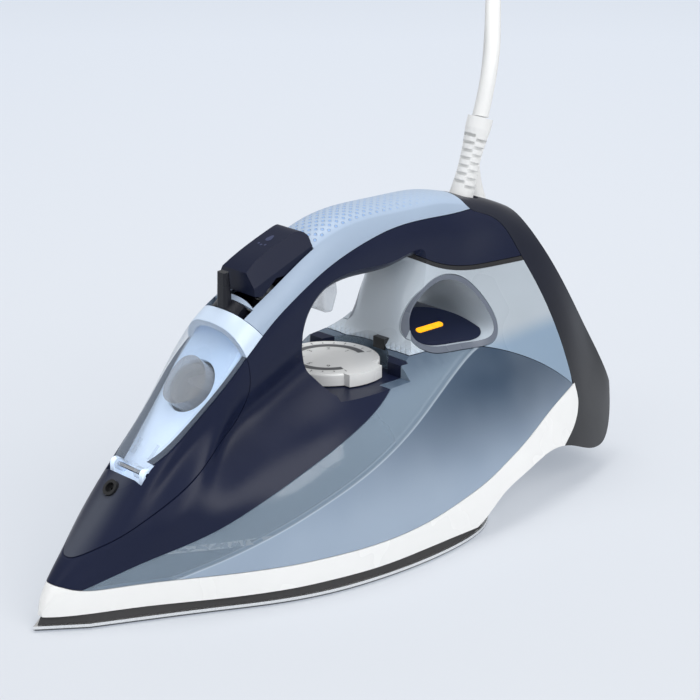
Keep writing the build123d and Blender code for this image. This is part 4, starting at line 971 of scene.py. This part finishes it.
class IRON_OT_pillar(bpy.types.Operator):
    """Frosted pillar with its ring, gasket and lamp"""

    bl_idname = "iron.pillar"
    bl_label = "Pillar and lamp"

    def execute(self, context):
        settings = context.scene.iron_finishes
        dress(pillar_frost(settings), "pillar_shell")
        dress(black_rubber(settings), "pillar_gasket")
        dress(ring_trim(settings), "hole_trim")
        dress(navy_gloss(settings), "lamp_housing")
        dress(amber_lens(settings), "lamp_lenses")
        return {"FINISHED"}


class IRON_OT_handle(bpy.types.Operator):
    """Dark handle, dimpled grip, heel and what they hold"""

    bl_idname = "iron.handle"
    bl_label = "Handle and heel"

    def execute(self, context):
        settings = context.scene.iron_finishes
        dress(navy_gloss(settings), "handle_shell")
        dress(grip_soft(settings), "grip")
        dress(heel_gloss(settings), "heel_cover")
        dress(panel_satin(settings), "heel_panel")
        dress(board_green(settings), "heel_board")
        dress(pin_steel(settings), "board_screws")
        dress(inner_pale(settings), "terminal_block", "pump_shelf", "spray_pump", "steam_pump", "pump_cradle")
        dress(inner_pale(settings), "spray_piston", "steam_piston")
        return {"FINISHED"}


class IRON_OT_nose(bpy.types.Operator):
    """Nose cover, spray nozzle, filler tray and clear door"""

    bl_idname = "iron.nose"
    bl_label = "Nose and filler"

    def execute(self, context):
        settings = context.scene.iron_finishes
        dress(nose_gloss(settings), "nose_cover")
        dress(black_plastic(settings), "spray_nozzle")
        dress(hose_clear(settings), "spray_hose")
        dress(tray_blue(settings), "filler_tray")
        dress(pin_steel(settings), "door_pin")
        dress(door_clear(settings), "water_door")
        dress(plug_clear(settings), "filler_plug")
        return {"FINISHED"}


class IRON_OT_controls(bpy.types.Operator):
    """Steam selector, its collar, spray button and steam trigger"""

    bl_idname = "iron.controls"
    bl_label = "Controls"

    def execute(self, context):
        settings, sizes = context.scene.iron_finishes, context.scene.iron_sizes
        dress(collar_satin(settings), "collar")
        dress(lever_black(settings), "selector_lever")
        dress(black_plastic(settings), "lever_bulkhead")
        dress(rod_brass(settings), "dosing_rod")
        dress(button_navy(settings), "spray_button")
        dress(trigger_clear(settings), "steam_trigger")
        self.spring(context, settings)
        self.collar_marks(settings, sizes)
        self.button_marks(settings)
        return {"FINISHED"}

    def spring(self, context, settings):
        """The spray pump's spring as a piece of its own, held by the housing."""
        mesh = NODES["spray_spring"].data.copy()
        mesh.materials.clear()
        mesh.materials.append(pin_steel(settings))
        piece = bpy.data.objects.new("pump_spring", mesh)
        context.scene.collection.objects.link(piece)
        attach(piece, "housing")
        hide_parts("spray_spring")
        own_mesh(piece)

    def collar_marks(self, settings, sizes):
        """Drops on the collar, more of them for more steam."""
        groups = []
        for count, turn in ((1, -27.0), (2, 0.0), (3, 27.0)):
            turn = math.radians(turn)
            normal = LEVER_OUT * math.cos(turn) + Vector((0, math.sin(turn), 0))
            across = LEVER_AXIS.cross(normal)
            origin = LEVER_AT + LEVER_AXIS * COLLAR_MARKS + normal * 0.022
            marks = []
            for drop in range(count):
                marks.append(drop_mark(((drop - (count - 1) / 2) * 2.3 * MM, 0.0), 0.75 * MM, math.pi / 2))
            groups.append(((origin, -across, LEVER_AXIS), marks))
        ink = mark_grey(settings)
        stamp("collar_marks", "collar", "housing", groups, ink, sizes.print_lift)

    def button_marks(self, settings):
        """A drop and three dots on the spray button."""
        place = (spot(*BUTTON_MARK), Vector((0, -1, 0)), BUTTON_DOWN)
        marks = [drop_mark((0.0, -2.2 * MM), 1.5 * MM, -math.pi / 2)]
        marks += [dot_mark((side * 2.0 * MM, (2.4 - 0.5 * abs(side)) * MM), 0.6 * MM) for side in (-1, 0, 1)]
        groups = [(place, marks)]
        ink = mark_navy(settings)
        stamp("button_marks", "spray_button", "spray_button", groups, ink, BUTTON_MARK_LIFT)


class IRON_OT_dial(bpy.types.Operator):
    """Temperature dial with its printed ring, ticks and figures"""

    bl_idname = "iron.dial"
    bl_label = "Dial"

    def execute(self, context):
        settings, sizes = context.scene.iron_finishes, context.scene.iron_sizes
        dress(white_gloss(settings), "dial")
        dress(inner_pale(settings), "thermostat_spindle")
        dress(black_plastic(settings), "dial_pointer")
        marks = [arc_mark((0, 0), DIAL_RING * MM, DIAL_FROM, DIAL_FROM + DIAL_SWEEP, 3.2 * MM, 60)]
        for tick in range(sizes.dial_ticks):
            angle = DIAL_FROM + DIAL_SWEEP * tick / (sizes.dial_ticks - 1)
            end = DIAL_TICKS + (2.2 if tick % 3 == 0 else 1.3)
            marks.append(turned(bar_mark((DIAL_TICKS * MM, 0), (end * MM, 0), 0.45 * MM), angle))
        for figure in range(1, DIAL_LAST_FIGURE + 1):
            angle = DIAL_FROM + DIAL_SWEEP * (figure - 0.5) / DIAL_LAST_FIGURE
            way = Vector((math.cos(math.radians(angle)), math.sin(math.radians(angle))))
            points, faces = turned(figure_marks(str(figure), (0, 0), 2.6 * MM), angle - 90.0)
            marks.append(([p + way * (DIAL_FIGURES * MM) for p in points], faces))
        centre = spot(DIAL_AT, 0.0, 0.0)
        centre.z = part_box("dial")[1].z
        place = (centre, Vector((1, 0, 0)), Vector((0, 1, 0)))
        groups = [(place, marks)]
        stamp("dial_print", "dial", "dial", groups, mark_grey(settings), sizes.print_lift)
        return {"FINISHED"}


class IRON_PT_panel(bpy.types.Panel):
    """Buttons and settings of the iron"""

    bl_label = "Steam iron"
    bl_idname = "IRON_PT_panel"
    bl_space_type = "VIEW_3D"
    bl_region_type = "UI"
    bl_category = "Iron"

    def draw(self, context):
        for operator in OPERATORS:
            self.layout.operator(operator.bl_idname)
        for group in (context.scene.iron_finishes, context.scene.iron_sizes, context.scene.iron_studio):
            box = self.layout.box()
            for name in group.__annotations__:
                box.prop(group, name)


OPERATORS = (
    IRON_OT_stage, IRON_OT_cord, IRON_OT_sole, IRON_OT_tank, IRON_OT_pillar, IRON_OT_handle, IRON_OT_nose,
    IRON_OT_controls, IRON_OT_dial,
)
CLASSES = (IronFinishes, IronSizes, IronStudio, *OPERATORS, IRON_PT_panel)


def register():
    """Adds the classes and the scene's settings."""
    for entry in CLASSES:
        bpy.utils.register_class(entry)
    bpy.types.Scene.iron_finishes = PointerProperty(type=IronFinishes)
    bpy.types.Scene.iron_sizes = PointerProperty(type=IronSizes)
    bpy.types.Scene.iron_studio = PointerProperty(type=IronStudio)


def unregister():
    """Takes them away again."""
    del bpy.types.Scene.iron_studio
    del bpy.types.Scene.iron_sizes
    del bpy.types.Scene.iron_finishes
    for entry in reversed(CLASSES):
        bpy.utils.unregister_class(entry)


def main():
    """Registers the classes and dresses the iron."""
    register()
    for operator in OPERATORS:
        group, name = operator.bl_idname.split(".")
        getattr(getattr(bpy.ops, group), name)()


if __name__ == "__main__":
    main()
